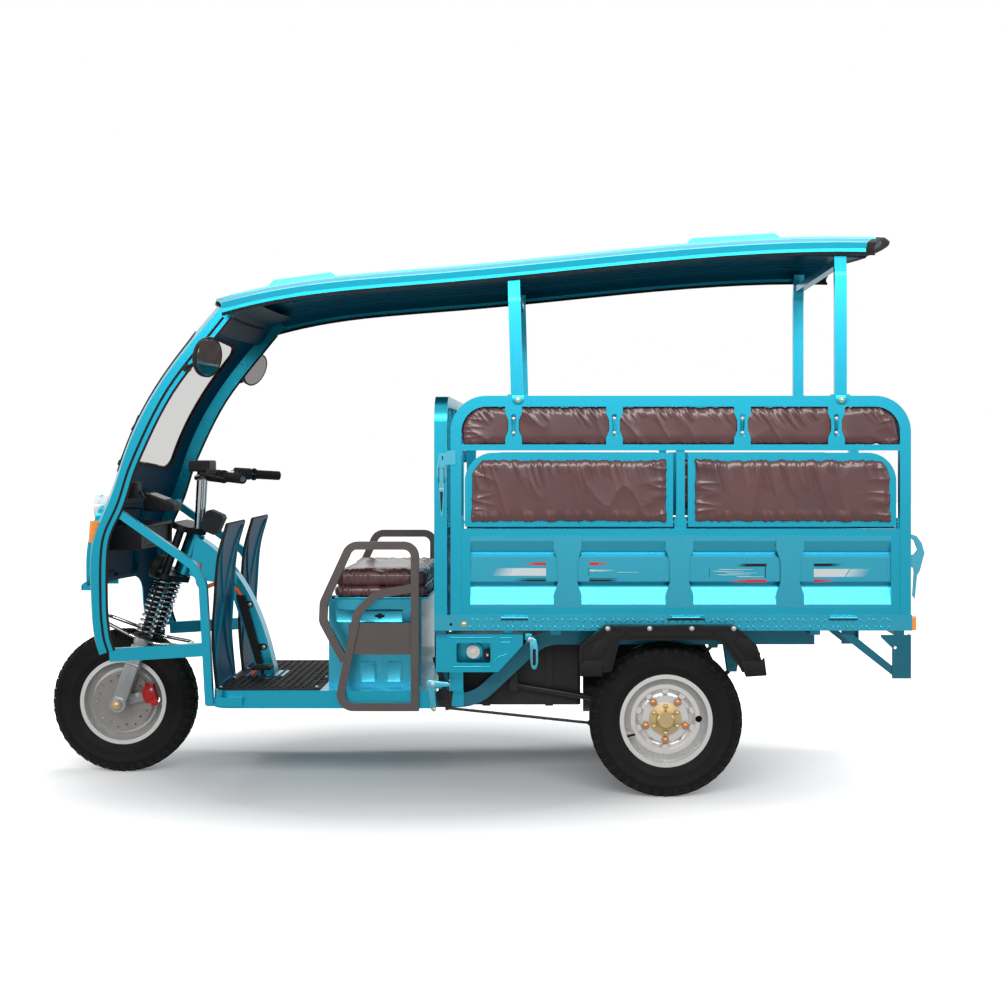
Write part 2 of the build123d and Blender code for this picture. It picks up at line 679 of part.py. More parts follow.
def roof_plan(inset):
    """Plan outline of the canopy with bowed ends, the rear one moved in by inset."""
    side = roof_half_width + 20
    rear = bed_rear_x + 5 - inset
    front_arc = ThreePointArc((roof_front_x + roof_front_bow, -side), (roof_front_x, 0), (roof_front_x + roof_front_bow, side))
    rear_arc = ThreePointArc((rear - roof_rear_bulge, side), (rear, 0), (rear - roof_rear_bulge, -side))
    return prism_xy(make_face([front_arc, Line(front_arc @ 1, rear_arc @ 0), rear_arc, Line(rear_arc @ 1, front_arc @ 0)]), 1350, 2250)


def roof_shells():
    skin = (roof_fill(0, 0) + roof_pads(0)) - (roof_fill(roof_sheet, 30) + roof_pads(roof_sheet))
    return skin & roof_plan(roof_lip), (skin - roof_plan(roof_lip)) & roof_plan(0)


def above_ceiling():
    """Space above a plain arc just under the canopy, which trims what meets it from below."""
    path, plane = along_line(roof_line)
    w = roof_half_width + 30
    arc = ThreePointArc((-w, 4), (0, roof_crown_up - roof_sheet - 0.3), (w, 4))
    return sweep(plane * make_face([arc, Line(arc @ 1, (w, 220)), Line((w, 220), (-w, 220)), Line((-w, 220), arc @ 0)]), path=path)


def eave_trim():
    """Rubber channel under the canopy's side edges."""
    path, plane = along_line(roof_line[1:])
    strips = [sweep(plane * Pos(side * (roof_half_width - 5), -5.5) * Rectangle(10, 10), path=path) for side in (-1, 1)]
    return (Part() + strips) & roof_plan(0)


def cab_front():
    shell = cab_fill(0, cab_flange) + nose_pad(0)
    shell -= cab_fill(cab_sheet, cab_flange + 40) + nose_pad(cab_sheet)
    opening = Pos(0, 480) * RectangleRounded(2 * (cab_half_width - 105), 2 * (nose_bottom_z - 480), 60)
    shell -= prism_yz(opening, -1500, -1000)
    shell += visor() - cab_fill(0, cab_flange)
    shell -= screen_cutter(0)
    ceiling = above_ceiling()
    parts["cab_shell"] = shell - ceiling
    seal = (cab_fill(-3, cab_flange) - cab_fill(cab_sheet + 3, cab_flange + 40)) & (screen_cutter(0) - screen_cutter(screen_seal))
    parts["windscreen"] = (cab_fill(0, cab_flange) - cab_fill(screen_glass, cab_flange + 40)) & screen_cutter(screen_seal)
    roof_part, lip = roof_shells()
    parts["roof"] = roof_part
    parts["rubber_trim"] = seal + lip + eave_trim()


def roof_posts():
    """Posts on the side frames, cranked inwards at the top and joined under the canopy by cross bars."""
    shape = Part()
    outer = -bed_half_width + post_depth / 2
    for x, lean, bend_z, top_z in zip(post_x, post_lean, post_bend_z, post_top_z):
        line = [(outer, arch_top_z - 20), (outer, bend_z), (outer + post_inset, top_z + 60)]
        path = Location(Plane.YZ) * FilletPolyline(*line, radius=60)
        post = sweep(Plane(origin=path @ 0, x_dir=(1, 0, 0), z_dir=path % 0) * Rectangle(post_width, post_depth), path=path)
        tilt = degrees(atan2(lean, top_z - arch_top_z))
        shape += Pos(x, 0, arch_top_z) * Rot(0, tilt, 0) * Pos(0, 0, -arch_top_z) * post
        foot = block(x - post_width / 2 - 12, x + post_width / 2 + 12, -bed_half_width + 2, -bed_half_width + arch_tube - 2, arch_top_z, arch_top_z + 5)
        shape += foot
        bar_x0 = x + lean - 15
        shape += block(bar_x0, bar_x0 + 30, outer + post_inset - 8, 0, top_z - 22, top_z + 3)
    shape -= block(bed_front_x - 100, bed_rear_x + 100, -bed_half_width - 100, 0, arch_top_z - 100, arch_top_z)
    return left_and_right(shape) - above_ceiling()


def cab_guard_tubes():
    """Tubes from the cab shell down to the floor's edge on each side."""
    y0 = -cab_half_width + cab_sheet
    y1 = y0 + 28
    shape = flat_bar([(-1245, 1002), (-968, 806), (-935, 740), (-912, 318)], 28, 70, y0, y1)
    shape += flat_bar([(-1262, 492), (-925, 512)], 46, 10, y0, y1)
    shape += block(-926, -800, y1 - 6, -floor_half_width, 310, 340)
    return left_and_right(shape)


# ---------------------------------------------------------------- bed sides
def waisted(x, width, waist, z0, z1, band):
    points = [(x - width / 2, z0), (x + width / 2, z0), (x + width / 2, z0 + band), (x + waist / 2, z0 + 2 * band), (x + waist / 2, z1 - 2 * band),
              (x + width / 2, z1 - band), (x + width / 2, z1), (x - width / 2, z1), (x - width / 2, z1 - band), (x - waist / 2, z1 - 2 * band),
              (x - waist / 2, z0 + 2 * band), (x - width / 2, z0 + band)]
    return outline(points)


def side_frame():
    out = -bed_half_width
    w = arch_tube
    inner_front, inner_rear = arch_front_x + w, arch_rear_x - w
    hoop = rounded_top(arch_front_x, arch_rear_x, deck_z, arch_top_z, arch_corner) - rounded_top(inner_front, inner_rear, deck_z, arch_top_z - w, arch_corner - w)
    shape = prism_xz(hoop, out, out + w)
    shape += block(inner_front, inner_rear, out, out + 30, mid_rail_z - mid_rail_height / 2, mid_rail_z + mid_rail_height / 2)
    shape += block(inner_front, inner_rear, out + 3, out + 30, waist_rail_z - waist_rail_height / 2, waist_rail_z + waist_rail_height / 2)
    low = waist_rail_z - waist_rail_height / 2
    shape += block(inner_front, inner_front + stile_width, out + 3, out + 30, deck_z, low)
    shape += block(inner_rear - stile_width, inner_rear, out + 3, out + 30, deck_z, low)
    shape += block(inner_front + stile_width, inner_rear - stile_width, out + 3, out + 30, deck_z, deck_z + sill_rail_height)
    post0, post1 = bench_front_x[1] + bench_lug + bench_lug_gap, bench_rear_x[0] - bench_lug - bench_lug_gap
    shape += block(post0, post1, out + 10, out + 35, waist_rail_z + waist_rail_height / 2, mid_rail_z - mid_rail_height / 2)
    for share in strap_share:
        x = arch_front_x + share * (arch_rear_x - arch_front_x)
        shape += prism_xz(waisted(x, strap_width, strap_waist, mid_rail_z + mid_rail_height / 2 - 4, arch_top_z - arch_tube + 4, 26), out, out + strap_thickness)
    y = -bench_face_y - bench_tube / 2
    lug_z = waist_rail_z + waist_rail_height / 2
    for x in (inner_front, post0 - bench_lug, post1, inner_rear - bench_lug):
        shape += block(x, x + bench_lug, y - 12, y + 12, lug_z, bench_bottom_z + bench_tube)
        shape -= rod((x - 3, y, bench_pin_z), (x + bench_lug + 3, y, bench_pin_z), bench_pin_radius + bearing_gap)
    return shape


def side_panel():
    """Pressed drop side: stepped section with waisted ribs and embossed pads."""
    out = -bed_half_width + 3
    top = waist_rail_z - waist_rail_height / 2
    low = deck_z + sill_rail_height
    h = top - low
    g = groove_depth
    line = [(0, 0), (0, 0.075), (g, 0.235), (g - 8, 0.26), (8, 0.3), (8, 0.64), (g, 0.70), (g, 0.72), (0, 0.955), (0, 1)]
    outer = [(out + d, top - f * h) for d, f in line]
    inner = [(y + sheet, z) for y, z in reversed(outer)]
    x0, x1 = arch_front_x + arch_tube + stile_width, arch_rear_x - arch_tube - stile_width
    shape = prism_yz(make_face(Polyline(*(outer + inner), close=True)), x0, x1)
    for share in rib_share:
        x = x0 + share * (x1 - x0)
        shape += prism_xz(waisted(x, rib_width, rib_waist, low, top, 0.18 * h), out - 3, out)
        for dx in (-0.2 * rib_width, 0.2 * rib_width):
            for z in (low + 0.1 * h, top - 0.1 * h):
                shape += block(x + dx - 9, x + dx + 9, out - 5, out - 3, z - 10, z + 10)
    return shape


def backrest():
    out = -bed_half_width
    x0, x1 = arch_front_x + arch_tube + 2, arch_rear_x - arch_tube - 2
    z0, z1 = mid_rail_z + mid_rail_height / 2, arch_top_z - arch_tube
    pad = prism_xz(rounded_top(x0, x1, z0, z1, arch_corner - arch_tube), out + strap_thickness + 0.5, out + 42)
    return fillet(pad.faces().filter_by(Axis.Y).edges(), 10)


def bench_frame(x0, x1, round_front):
    """Tube ring of one folding seat, with its two hinge pins."""
    r = bench_outer_corner
    z0, z1 = bench_bottom_z, bench_top_z
    if round_front:
        edges = [Line((x0, z0), (x1, z0)), Line((x1, z0), (x1, z1)), Line((x1, z1), (x0 + r, z1)), CenterArc((x0 + r, z1 - r), r, 90, 90), Line((x0, z1 - r), (x0, z0))]
    else:
        edges = [Line((x0, z0), (x1, z0)), Line((x1, z0), (x1, z1 - r)), CenterArc((x1 - r, z1 - r), r, 0, 90), Line((x1 - r, z1), (x0, z1)), Line((x0, z1), (x0, z0))]
    inner = Pos((x0 + x1) / 2, (z0 + z1) / 2) * Rectangle(x1 - x0 - 2 * bench_tube, z1 - z0 - 2 * bench_tube)
    cut = fillet(inner.vertices().group_by(Axis.Y)[-1].sort_by(Axis.X)[0 if round_front else -1], r - bench_tube - 5)
    y1 = -bench_face_y
    ringed = prism_xz(make_face(edges) - cut, y1 - bench_tube, y1)
    y = y1 - bench_tube / 2
    reach = bench_lug_gap + bench_lug - 1
    ringed += rod((x0 + 5, y, bench_pin_z), (x0 - reach, y, bench_pin_z), bench_pin_radius)
    ringed += rod((x1 - 5, y, bench_pin_z), (x1 + reach, y, bench_pin_z), bench_pin_radius)
    pad = prism_xz(cut, y1 - bench_tube - 10, y1 - 2)
    pad = fillet(pad.faces().sort_by(Axis.Y)[0].edges(), 8)
    return ringed, pad


def bed_front_bulkhead():
    """Hoop across the front of the bed with a pressed sheet below and bars above."""
    w = bed_half_width
    t = 38
    x0, x1 = bed_front_x, bed_front_x + 45

    def hoop(k, z0):
        edges = [Line((-w + k, z0), (w - k, z0)), Line((w - k, z0), (w - k, arch_top_z - 90)), CenterArc((w - 90, arch_top_z - 90), 90 - k, 0, 90),
                 Line((w - 90, arch_top_z - k), (-w + 90, arch_top_z - k)), CenterArc((-w + 90, arch_top_z - 90), 90 - k, 90, 90), Line((-w + k, arch_top_z - 90), (-w + k, z0))]
        return make_face(edges)

    shape = prism_yz(hoop(0, deck_z) - hoop(t, deck_z), x0, x1)
    shape += block(x0, x1, -w + t, w - t, waist_rail_z - 15, waist_rail_z + 15)
    shape += block(x0, x1, -w + t, w - t, deck_z, deck_z + 30)
    for y in (-0.46 * w, 0, 0.46 * w):
        shape += block(x0 + 8, x1 - 8, y - 14, y + 14, waist_rail_z + 15, arch_top_z - t)
    low, top = deck_z + 30, waist_rail_z - 15
    zig = [(0, 0), (0, 0.1), (14, 0.2), (14, 0.45), (0, 0.55), (0, 0.62), (14, 0.72), (14, 0.9), (0, 1)]
    face = [(x0 + 10 + d, low + f * (top - low)) for d, f in zig]
    sheet_face = make_face(Polyline(*(face + [(x + sheet, z) for x, z in reversed(face)]), close=True))
    return shape + prism_xz(sheet_face, -w + t, w - t)


def tailgate():
    """Framed drop gate with a pressed sheet, two waisted ribs and its hinge arms."""
    w = bed_half_width - arch_tube - 7
    x1 = bed_rear_x - 8
    x0 = x1 - 25
    z0, z1 = deck_z + 20, waist_rail_z + waist_rail_height / 2
    t = 25
    shape = block(x0, x1, -w, w, z0, z1) - block(x0, x1, -w + t, w - t, z0 + t, z1 - t)
    low, top = z0 + t, z1 - t
    line = [(0, 0), (0, 0.08), (12, 0.22), (5, 0.3), (5, 0.64), (12, 0.72), (0, 0.94), (0, 1)]
    face = [(x1 - 3 - d, top - f * (top - low)) for d, f in line]
    shape += prism_xz(make_face(Polyline(*(face + [(x - sheet, z) for x, z in reversed(face)]), close=True)), -w + t, w - t)
    for y in (-0.48 * w, 0.48 * w):
        rib = outline([(y - 45, low), (y + 45, low), (y + 30, low + 60), (y + 30, top - 60), (y + 45, top), (y - 45, top), (y - 30, top - 60), (y - 30, low + 60)])
        shape += prism_yz(rib, x1 - 3, x1)
    for y in gate_hinge_y:
        shape += block(x1, gate_pin_x + 6, y - 6, y + 6, z0, z0 + 45) + block(gate_pin_x - 6, gate_pin_x + 6, y - 6, y + 6, gate_pin_z, z0)
        shape += rod((gate_pin_x, y - 6, gate_pin_z), (gate_pin_x, y + 6, gate_pin_z), 6) + rod((gate_pin_x, y, gate_pin_z), (gate_pin_x, y + 24, gate_pin_z), 4)
    return shape


def gate_hinges():
    shape = Part()
    for y in gate_hinge_y:
        shape += block(bed_rear_x, gate_pin_x, y + 11, y + 23, gate_pin_z - 8, gate_pin_z + 8) + rod((gate_pin_x, y + 11, gate_pin_z), (gate_pin_x, y + 23, gate_pin_z), 8)
        shape += block(bed_rear_x, bed_rear_x + 3, y + 11, y + 23, gate_pin_z - 40, gate_pin_z - 8)
        shape -= rod((gate_pin_x, y, gate_pin_z), (gate_pin_x, y + 30, gate_pin_z), 4 + bearing_gap)
    return shape


def latches():
    """Toggle latches: bowed hook, pivot plate and tapered lever at the rear, flat catches in front."""
    x = arch_rear_x
    z = 0.5 * (deck_z + waist_rail_z) + 62
    lever = outline([(x, z - 40), (x + 12, z - 44), (x + 14, z - 60), (x + 9, z - 140), (x + 16, z - 150), (x + 24, z - 70), (x + 34, z - 52), (x + 46, z - 6),
                     (rear_reach, z + 8), (x + 40, z + 44), (x + 22, z + 68), (x + 4, z + 74), (x, z + 62), (x + 14, z + 52), (x + 26, z + 20), (x + 14, z + 4), (x, z + 2)])
    y = -bed_half_width + 12
    shape = prism_xz(lever, y, y + 14)
    x = bed_front_x + 8
    top = mid_rail_z - 11
    front = outline([(x + 15, top - 229), (x + 23, top - 229), (x + 29, top - 100), (x + 35, top - 86), (x + 35, top - 49), (x + 67, top - 49), (x + 67, top),
                     (x + 40, top), (x + 28, top - 10), (x + 8, top - 10), (x, top - 62), (x, top - 86), (x + 9, top - 100)], 2)
    shape += prism_xz(front, -bed_half_width - 8, -bed_half_width)
    return left_and_right(shape)


def rear_legs():
    """Corner legs under the bed's rear with a tie hole, each with a strut up to the bearers."""
    x1 = bed_rear_x - 3
    low = rail_high_z + rail_height / 2
    points = [(x1 - 105, low), (x1 - 105, low - 8), (x1 - 66, low - 46), (x1 - 66, low - 152), (x1, low - 152), (x1, low)]
    y = -bed_half_width + 3
    leg = prism_xz(outline(points), y, y + 5)
    leg -= rod((tie_hole_x, y - 5, tie_hole_z), (tie_hole_x, y + 10, tie_hole_z), tie_hole_radius)
    leg += block(x1 - 5, x1, y, y + 34, low - 152, low)
    leg += prism_xz(outline([(x1 - 60, low - 145), (x1 - 60, low - 112), (x1 - 200, low), (x1 - 245, low)]), y + 5, y + 10)
    return left_and_right(leg)


# ---------------------------------------------------------------- running gear
def rear_axle():
    plate = rear_wheel_y - 65
    shape = rod((rear_axle_x, -plate, tyre_radius), (rear_axle_x, plate, tyre_radius), axle_tube_radius)
    for side in (-1, 1):
        shape += rod((rear_axle_x, side * plate, tyre_radius), (rear_axle_x, side * (rear_wheel_y + 28), tyre_radius), spindle_radius)
        shape += rod((rear_axle_x, side * (plate - 6), tyre_radius), (rear_axle_x, side * plate, tyre_radius), 90)
    case = Pos(rear_axle_x, 60, tyre_radius) * Rot(90, 0, 0) * Cylinder(92, 90)
    case = fillet(case.edges().filter_by(GeomType.CIRCLE), 20)
    motor = rod((rear_axle_x - 130, 60, tyre_radius + 20), (rear_axle_x - 282, 60, tyre_radius + 20), 75)
    neck = rod((rear_axle_x - 60, 60, tyre_radius + 10), (rear_axle_x - 132, 60, tyre_radius + 20), 50)
    return shape + case + motor + neck


def leaf_springs():
    """Three-leaf springs over the axle, with eyes."""
    x0, x1, z_low = rear_axle_x - spring_half, rear_axle_x + spring_half, tyre_radius + axle_tube_radius + 26
    y0, y1 = -rail_y - 22, -rail_y + 22
    drop = spring_eye_z - z_low
    radius = (spring_half ** 2 + drop ** 2) / (2 * drop)
    shape = Part()
    for k, share in enumerate((1.0, 0.7, 0.45)):
        swing = degrees(atan2(spring_half * share, radius - drop * share))
        upper = CenterArc((rear_axle_x, z_low + radius), radius + 8 * k, -90 - swing, 2 * swing)
        lower = CenterArc((rear_axle_x, z_low + radius), radius + 8 * (k + 1), -90 - swing, 2 * swing)
        shape += prism_xz(make_face([upper, lower, Line(upper @ 0, lower @ 0), Line(upper @ 1, lower @ 1)]), y0, y1)
    for x in (x0, x1):
        shape += rod((x, y0, spring_eye_z), (x, y1, spring_eye_z), 15)
        shape -= rod((x, y0 - 18, spring_eye_z), (x, y1 + 18, spring_eye_z), 8)
    shape += block(rear_axle_x - 40, rear_axle_x + 40, y0 - 4, y1 + 4, tyre_radius + 20, z_low - 20)
    shape += block(rear_axle_x - 32, rear_axle_x + 32, y0 - 4, y1 + 4, z_low, z_low + 8)
    return left_and_right(shape - rod((rear_axle_x, y0 - 40, tyre_radius), (rear_axle_x, y1 + 20, tyre_radius), axle_tube_radius))


def spring_hangers():
    """Hanger plates and rear shackles either side of each spring eye."""
    low = rail_high_z - rail_height / 2
    y0, y1 = -rail_y - 28, -rail_y + 28
    shape = Part()
    for x in (rear_axle_x - spring_half, rear_axle_x + spring_half):
        side = outline([(x - 30, low), (x + 30, low), (x + 16, spring_eye_z - 17), (x - 16, spring_eye_z - 17)])
        shape += prism_xz(side, y0, y0 + 6) + prism_xz(side, y1 - 6, y1)
        shape += block(x - 28, x + 28, y0, y1, low - 6, low)
        shape += rod((x, y0 - 6, spring_eye_z), (x, y1 + 6, spring_eye_z), 8)
    return left_and_right(shape)


def radius_rods():
    """Rods from brackets inside the rails back to the axle."""
    y = -rail_y + 50
    shape = rod((rod_pivot_x, y, rod_pivot_z), (rear_axle_x - 30, y, tyre_radius + 14), 11)
    shape += rod((rod_pivot_x, y - 15, rod_pivot_z), (rod_pivot_x, y + 15, rod_pivot_z), 20)
    shape += block(rod_pivot_x - 14, rod_pivot_x + 14, -rail_y + 20, -rail_y + 26, rod_pivot_z - 17, rod_pivot_z + 93)
    shape += rod((rod_pivot_x, -rail_y + 20, rod_pivot_z), (rod_pivot_x, y + 15, rod_pivot_z), 8)
    shape += block(rear_axle_x - 45, rear_axle_x, y - 10, y + 10, tyre_radius - 10, tyre_radius + 34)
    shape -= rod((rear_axle_x, y - 40, tyre_radius), (rear_axle_x, y + 40, tyre_radius), axle_tube_radius)
    return left_and_right(shape)


def battery_box():
    """Battery case between the rails with a lipped lid and strap ribs."""
    inner = rail_y - rail_width / 2 - 58
    x0, x1, top = battery_front_x, battery_rear_x, rail_high_z - 20
    case = block(x0, x1, -inner, inner, 290, top - 22)
    case = fillet(case.edges().filter_by(Axis.Z), 12)
    lid = block(x0 - 6, x1 + 6, -inner - 6, inner + 6, top - 22, top)
    lid = fillet(lid.edges().filter_by(Axis.Z), 16)
    straps = Part()
    for share in (0.25, 0.75):
        x = x0 + share * (x1 - x0)
        straps += block(x - 14, x + 14, -inner - 9, inner + 9, 287, top + 3) - block(x - 15, x + 15, -inner - 6, inner + 6, 290, top)
    return case + lid + straps


def electrics_box():
    """Socket and fuse box hung below the front of the bed on the left, with its bracket."""
    y0, y1 = -bed_half_width + 28, -rail_y - 46
    x = bed_front_x + 4
    top = rail_high_z + rail_height / 2 - 1
    outer = prism_xz(outline([(x, 437), (x + 217, 437), (x + 304, 531), (x + 304, top), (x, top)]), y0, y1)
    inner = prism_xz(outline([(x + 4, 441), (x + 215, 441), (x + 300, 532), (x + 300, top - 4), (x + 4, top - 4)]), y0 + 4, y1 - 4)
    window = prism_xz(Pos(x + 131.5, 504.5) * RectangleRounded(119, 69, 8), y0 - 10, y0 + 10)
    rim_face = Pos(x + 131.5, 504.5) * (RectangleRounded(133, 83, 12) - RectangleRounded(119, 69, 8))
    shape = outer - inner - window + prism_xz(rim_face, y0 - 3, y0)
    socket = rod((x + 133, y1 - 3, 505), (x + 133, y0 + 34, 505), 28) - rod((x + 133, y1 - 20, 505), (x + 133, y0 + 33, 505), 20)
    shape += socket + rod((x + 133, y1 - 18, 505), (x + 133, y0 + 40, 505), 7)
    low = rail_high_z + rail_height / 2
    for at in (x + 33, x + 250):
        shape += block(at - 14, at + 14, y0 + 30, y0 + 34, top, low if at < x + 100 else deck_z - deck_thickness)
    post = x + 67
    shape += block(post - 24, post + 24, y1 - 12, y1, 366, 440) + block(post - 24, post + 24, y1 - 12, -rail_y - 20, 360, 366)
    shape += block(post - 24, post + 24, -rail_y - 26, -rail_y - 20, 300, 366)
    return shape


def mudguards():
    """Flares over the rear wheels: an outer face stepped in panels and a flange on the bed's skirt."""
    x = rear_axle_x
    y0, y1 = -bed_half_width - mudguard_width, -bed_half_width
    low = mudguard_low_z
    points = [(x - 305, low), (x - 305, low + 92), (x - 212, low + 159), (x + 232, low + 159), (x + 308, low + 92), (x + 336, low)]
    face = outline(points, 24)
    arch = [(x - 215, low - 8), (x - 191, low + 7), (x - 164, low + 110), (x + 181, low + 110), (x + 250, low + 14), (x + 259, low - 8)]
    cut = outline(arch)
    shell = prism_xz(face, y0, y1) - prism_xz(offset(face, -4), y0 + 4, y1)
    step = prism_xz(offset(face, -16) - offset(cut, 14), y0 - 5, y0)
    step -= block(x - 150, x - 138, y0 - 6, y0, low - 20, low + 170) + block(x + 152, x + 164, y0 - 6, y0, low - 20, low + 170)
    shell = (shell + step) - prism_xz(cut, y0 - 10, y1 + 1)
    shell -= block(x - 311, x + 349, y0 + 4, y1 + 1, low - 18, low + 12)
    flange = prism_xz(offset(face, -2), y1 - 4, y1) & block(x - 311, x + 349, y0, y1, deck_z - skirt_height, deck_z - 20)
    return left_and_right(shell + flange)


def brake_lever():
    """Parking-brake lever on the left rail, with its quadrant, grip and pull rod."""
    y = -rail_y - 35
    shape = flat_bar([(-78, 289), (-96, 380), (-113, 440)], 16, 20, y - 3, y + 3)
    shape += rod((-108, y, 424), (-124, y, 478), 10)
    shape += prism_xz(outline([(-110, 300), (-66, 300), (-60, 356), (-118, 356)]), y + 3, y + 7)
    shape += rod((-90, y - 9, 321), (-90, -rail_y - 20, 321), 9)
    shape += rod((-78, y, 296), (rear_axle_x - 264, y, 243), 5)
    shape += rod((rear_axle_x - 264, y - 8, 243), (rear_axle_x - 264, y + 8, 243), 9)
    return shape


def mirrors():
    """Round mirrors on short arms from the cab's sides, both turned towards the left."""
    shape = Part()
    for side, x, z, lean in ((-1, mirror_x, 1535, 8), (1, mirror_x - 40, 1547, 22)):
        y = side * (cab_half_width + 75)
        head = rod((-12, 0, 0), (10, 0, 0), mirror_radius)
        head = fillet(head.edges().filter_by(GeomType.CIRCLE).sort_by(Axis.X)[0], 10) - rod((8, 0, 0), (11, 0, 0), mirror_radius - 5)
        root = (-985, side * (cab_half_width + 20), 1500)
        shape += Pos(x, y, z) * Rot(0, 0, -26) * Rot(0, lean, 0) * head
        shape += rod((x - 6, y, z), root, 6) + rod((root[0], side * (cab_half_width + 25), root[2]), (root[0], side * cab_half_width, root[2]), 14)
    return shape


def on_shell(share, y, lift):
    """Point above the outer skin, share of the way up the cab shell."""
    path = along_line(shell_line)[0]
    along = path % share
    half = cab_half_width
    radius = (half ** 2 + cab_crown ** 2) / (2 * cab_crown)
    out = cab_crown - radius + sqrt(radius ** 2 - y ** 2) + lift
    return path @ share + Vector(-along.Z, 0, along.X) * out + Vector(0, y, 0)


def lamps():
    """Paired headlamps with rims, turn lamps on the nose and lamps on the bed's rear skirt."""
    skin = cab_fill(0, 60) + nose_pad(0)
    head = Part()
    for y in (-200, 200):
        head += rod((-1300, y, 1002), (-1372, y, 1002), 42) + rod((-1358, y, 1002), (-1376, y, 1002), 47) - rod((-1372, y, 1002), (-1378, y, 1002), 40)
    parts["headlamps"] = head - skin
    lamp = Box(70, 90, 76)
    lamp = Rot(0, 4, 0) * fillet(lamp.edges().filter_by(Axis.Z), 14)
    orange = Part() + [Pos(-1316, side * (cab_half_width - 100), 922) * lamp for side in (-1, 1)] - skin
    tail = block(bed_rear_x, bed_rear_x + 15, -bed_half_width + 2, -bed_half_width + 36, deck_z - skirt_height + 1, deck_z - 6)
    tail = fillet(tail.edges().filter_by(Axis.X), 6)
    parts["signal_lamps"] = orange + left_and_right(tail)


def wiper():
    """Wiper arm and blade lying on the glass, with its pivot cap."""
    pivot = on_shell(0.475, -100, 22)
    shape = rod(on_shell(0.475, -100, -4), on_shell(0.475, -100, 28), 11)
    shape += rod(pivot, on_shell(0.6, -76, 24), 5)
    shape += rod(on_shell(0.56, -84, 24), on_shell(0.76, -44, 20), 6)
    return shape - cab_fill(-3, 60)


def cable_cover():
    """Channel clamped along the beam's left side."""
    cover = prism_xz(outline([(-896, 667), (-863, 667), (-795, 411), (-820, 411)]), -62, -38)
    return fillet(cover.edges().filter_by(Axis.Y), 3)


def wiring_conduit():
    """Conduit that loops under the beam into its side, and its tail from the cover to the beam's foot."""
    loop = [(-880, -50, 667), (-900, -52, 704), (-962, -54, 718), (-1030, -56, 688), (-1048, -52, 735), (-1036, -37, 786)]
    tail = [(-808, -50, 411), (-816, -52, 388), (-836, -60, floor_top_z + 6)]
    return tube(loop, conduit_radius, 18) + tube(tail, conduit_radius, 12)


def build():
    for side, name in ((-1, "left"), (1, "right")):
        rear_wheel_set(side, name)
    front_wheel_set()
    steering()
    parts["chassis_frame"] = chassis_frame() + spring_hangers()
    parts["main_beam"] = main_beam()
    parts["bed_bearers"] = bed_bearers() + rear_legs()
    parts["bed_deck"] = bed_deck() + gate_hinges()
    parts["floor_pan"] = floor_pan()
    parts["floor_mat"] = floor_mat()
    parts["leg_shields"] = leg_shields()
    parts["seat_box"] = driver_seat_box()
    parts["driver_seat"] = driver_seat()
    parts["arm_guards"] = arm_guards()
    cab_front()
    parts["roof_posts"] = roof_posts()
    parts["cab_guard_tubes"] = cab_guard_tubes() - parts["cab_shell"]
    left = {"side_frame": side_frame(), "side_panel": side_panel(), "backrest": backrest()}
    left["bench_frame_front"], left["bench_pad_front"] = bench_frame(*bench_front_x, True)
    left["bench_frame_rear"], left["bench_pad_rear"] = bench_frame(*bench_rear_x, False)
    for name, shape in left.items():
        parts[f"{name}_left"] = shape
        parts[f"{name}_right"] = mirror(shape, about=Plane.XZ)
    parts["bed_bulkhead"] = bed_front_bulkhead()
    parts["tailgate"] = tailgate()
    parts["bed_latches"] = latches()
    parts["rear_axle"] = rear_axle()
    parts["rear_suspension"] = leaf_springs() + (radius_rods() - parts["chassis_frame"])
    parts["battery_box"] = battery_box()
    parts["electrics_box"] = electrics_box() - parts["chassis_frame"]
    parts["mudguards"] = mudguards()
    parts["brake_lever"] = brake_lever() - parts["chassis_frame"]
    parts["wiring_conduit"] = wiring_conduit() - parts["main_beam"] - cable_cover()
    parts["rubber_trim"] += cable_cover()
    lamps()
    parts["cab_fittings"] = (mirrors() - parts["cab_shell"]) + wiper()


build()
for name, shape in parts.items():
    export_step(shape, f"parts/{name}.step")
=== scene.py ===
"""Dressed model of a three-wheeled electric carrier with a canopy, drop-side bed and folding benches."""
import math
from contextlib import contextmanager

import bmesh
import bpy
from mathutils import Matrix, Vector, noise


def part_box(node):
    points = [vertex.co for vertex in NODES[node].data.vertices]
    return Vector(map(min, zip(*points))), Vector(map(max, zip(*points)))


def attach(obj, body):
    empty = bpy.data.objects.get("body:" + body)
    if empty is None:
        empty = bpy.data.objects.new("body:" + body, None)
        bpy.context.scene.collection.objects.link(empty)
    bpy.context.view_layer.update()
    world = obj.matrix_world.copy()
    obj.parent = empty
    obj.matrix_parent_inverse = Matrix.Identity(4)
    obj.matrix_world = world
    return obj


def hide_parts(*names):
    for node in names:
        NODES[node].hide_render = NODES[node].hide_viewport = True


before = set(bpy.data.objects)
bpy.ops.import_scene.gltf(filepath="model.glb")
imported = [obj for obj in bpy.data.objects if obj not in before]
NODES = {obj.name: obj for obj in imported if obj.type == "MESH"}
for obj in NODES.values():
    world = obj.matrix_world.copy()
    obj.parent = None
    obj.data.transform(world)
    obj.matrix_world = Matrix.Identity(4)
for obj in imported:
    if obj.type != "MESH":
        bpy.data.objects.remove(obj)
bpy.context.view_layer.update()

# ---------------------------------------------------------------- sizes taken from the frame
TYRE_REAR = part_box("rear_tyre_left")
TYRE_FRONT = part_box("front_tyre")
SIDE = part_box("side_frame_left")
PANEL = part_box("side_panel_left")
TYRE_RADIUS = (TYRE_REAR[1][2] - TYRE_REAR[0][2]) / 2
REAR_AXLE_X = (TYRE_REAR[0][0] + TYRE_REAR[1][0]) / 2
REAR_WHEEL_Y = (TYRE_REAR[0][1] + TYRE_REAR[1][1]) / 2
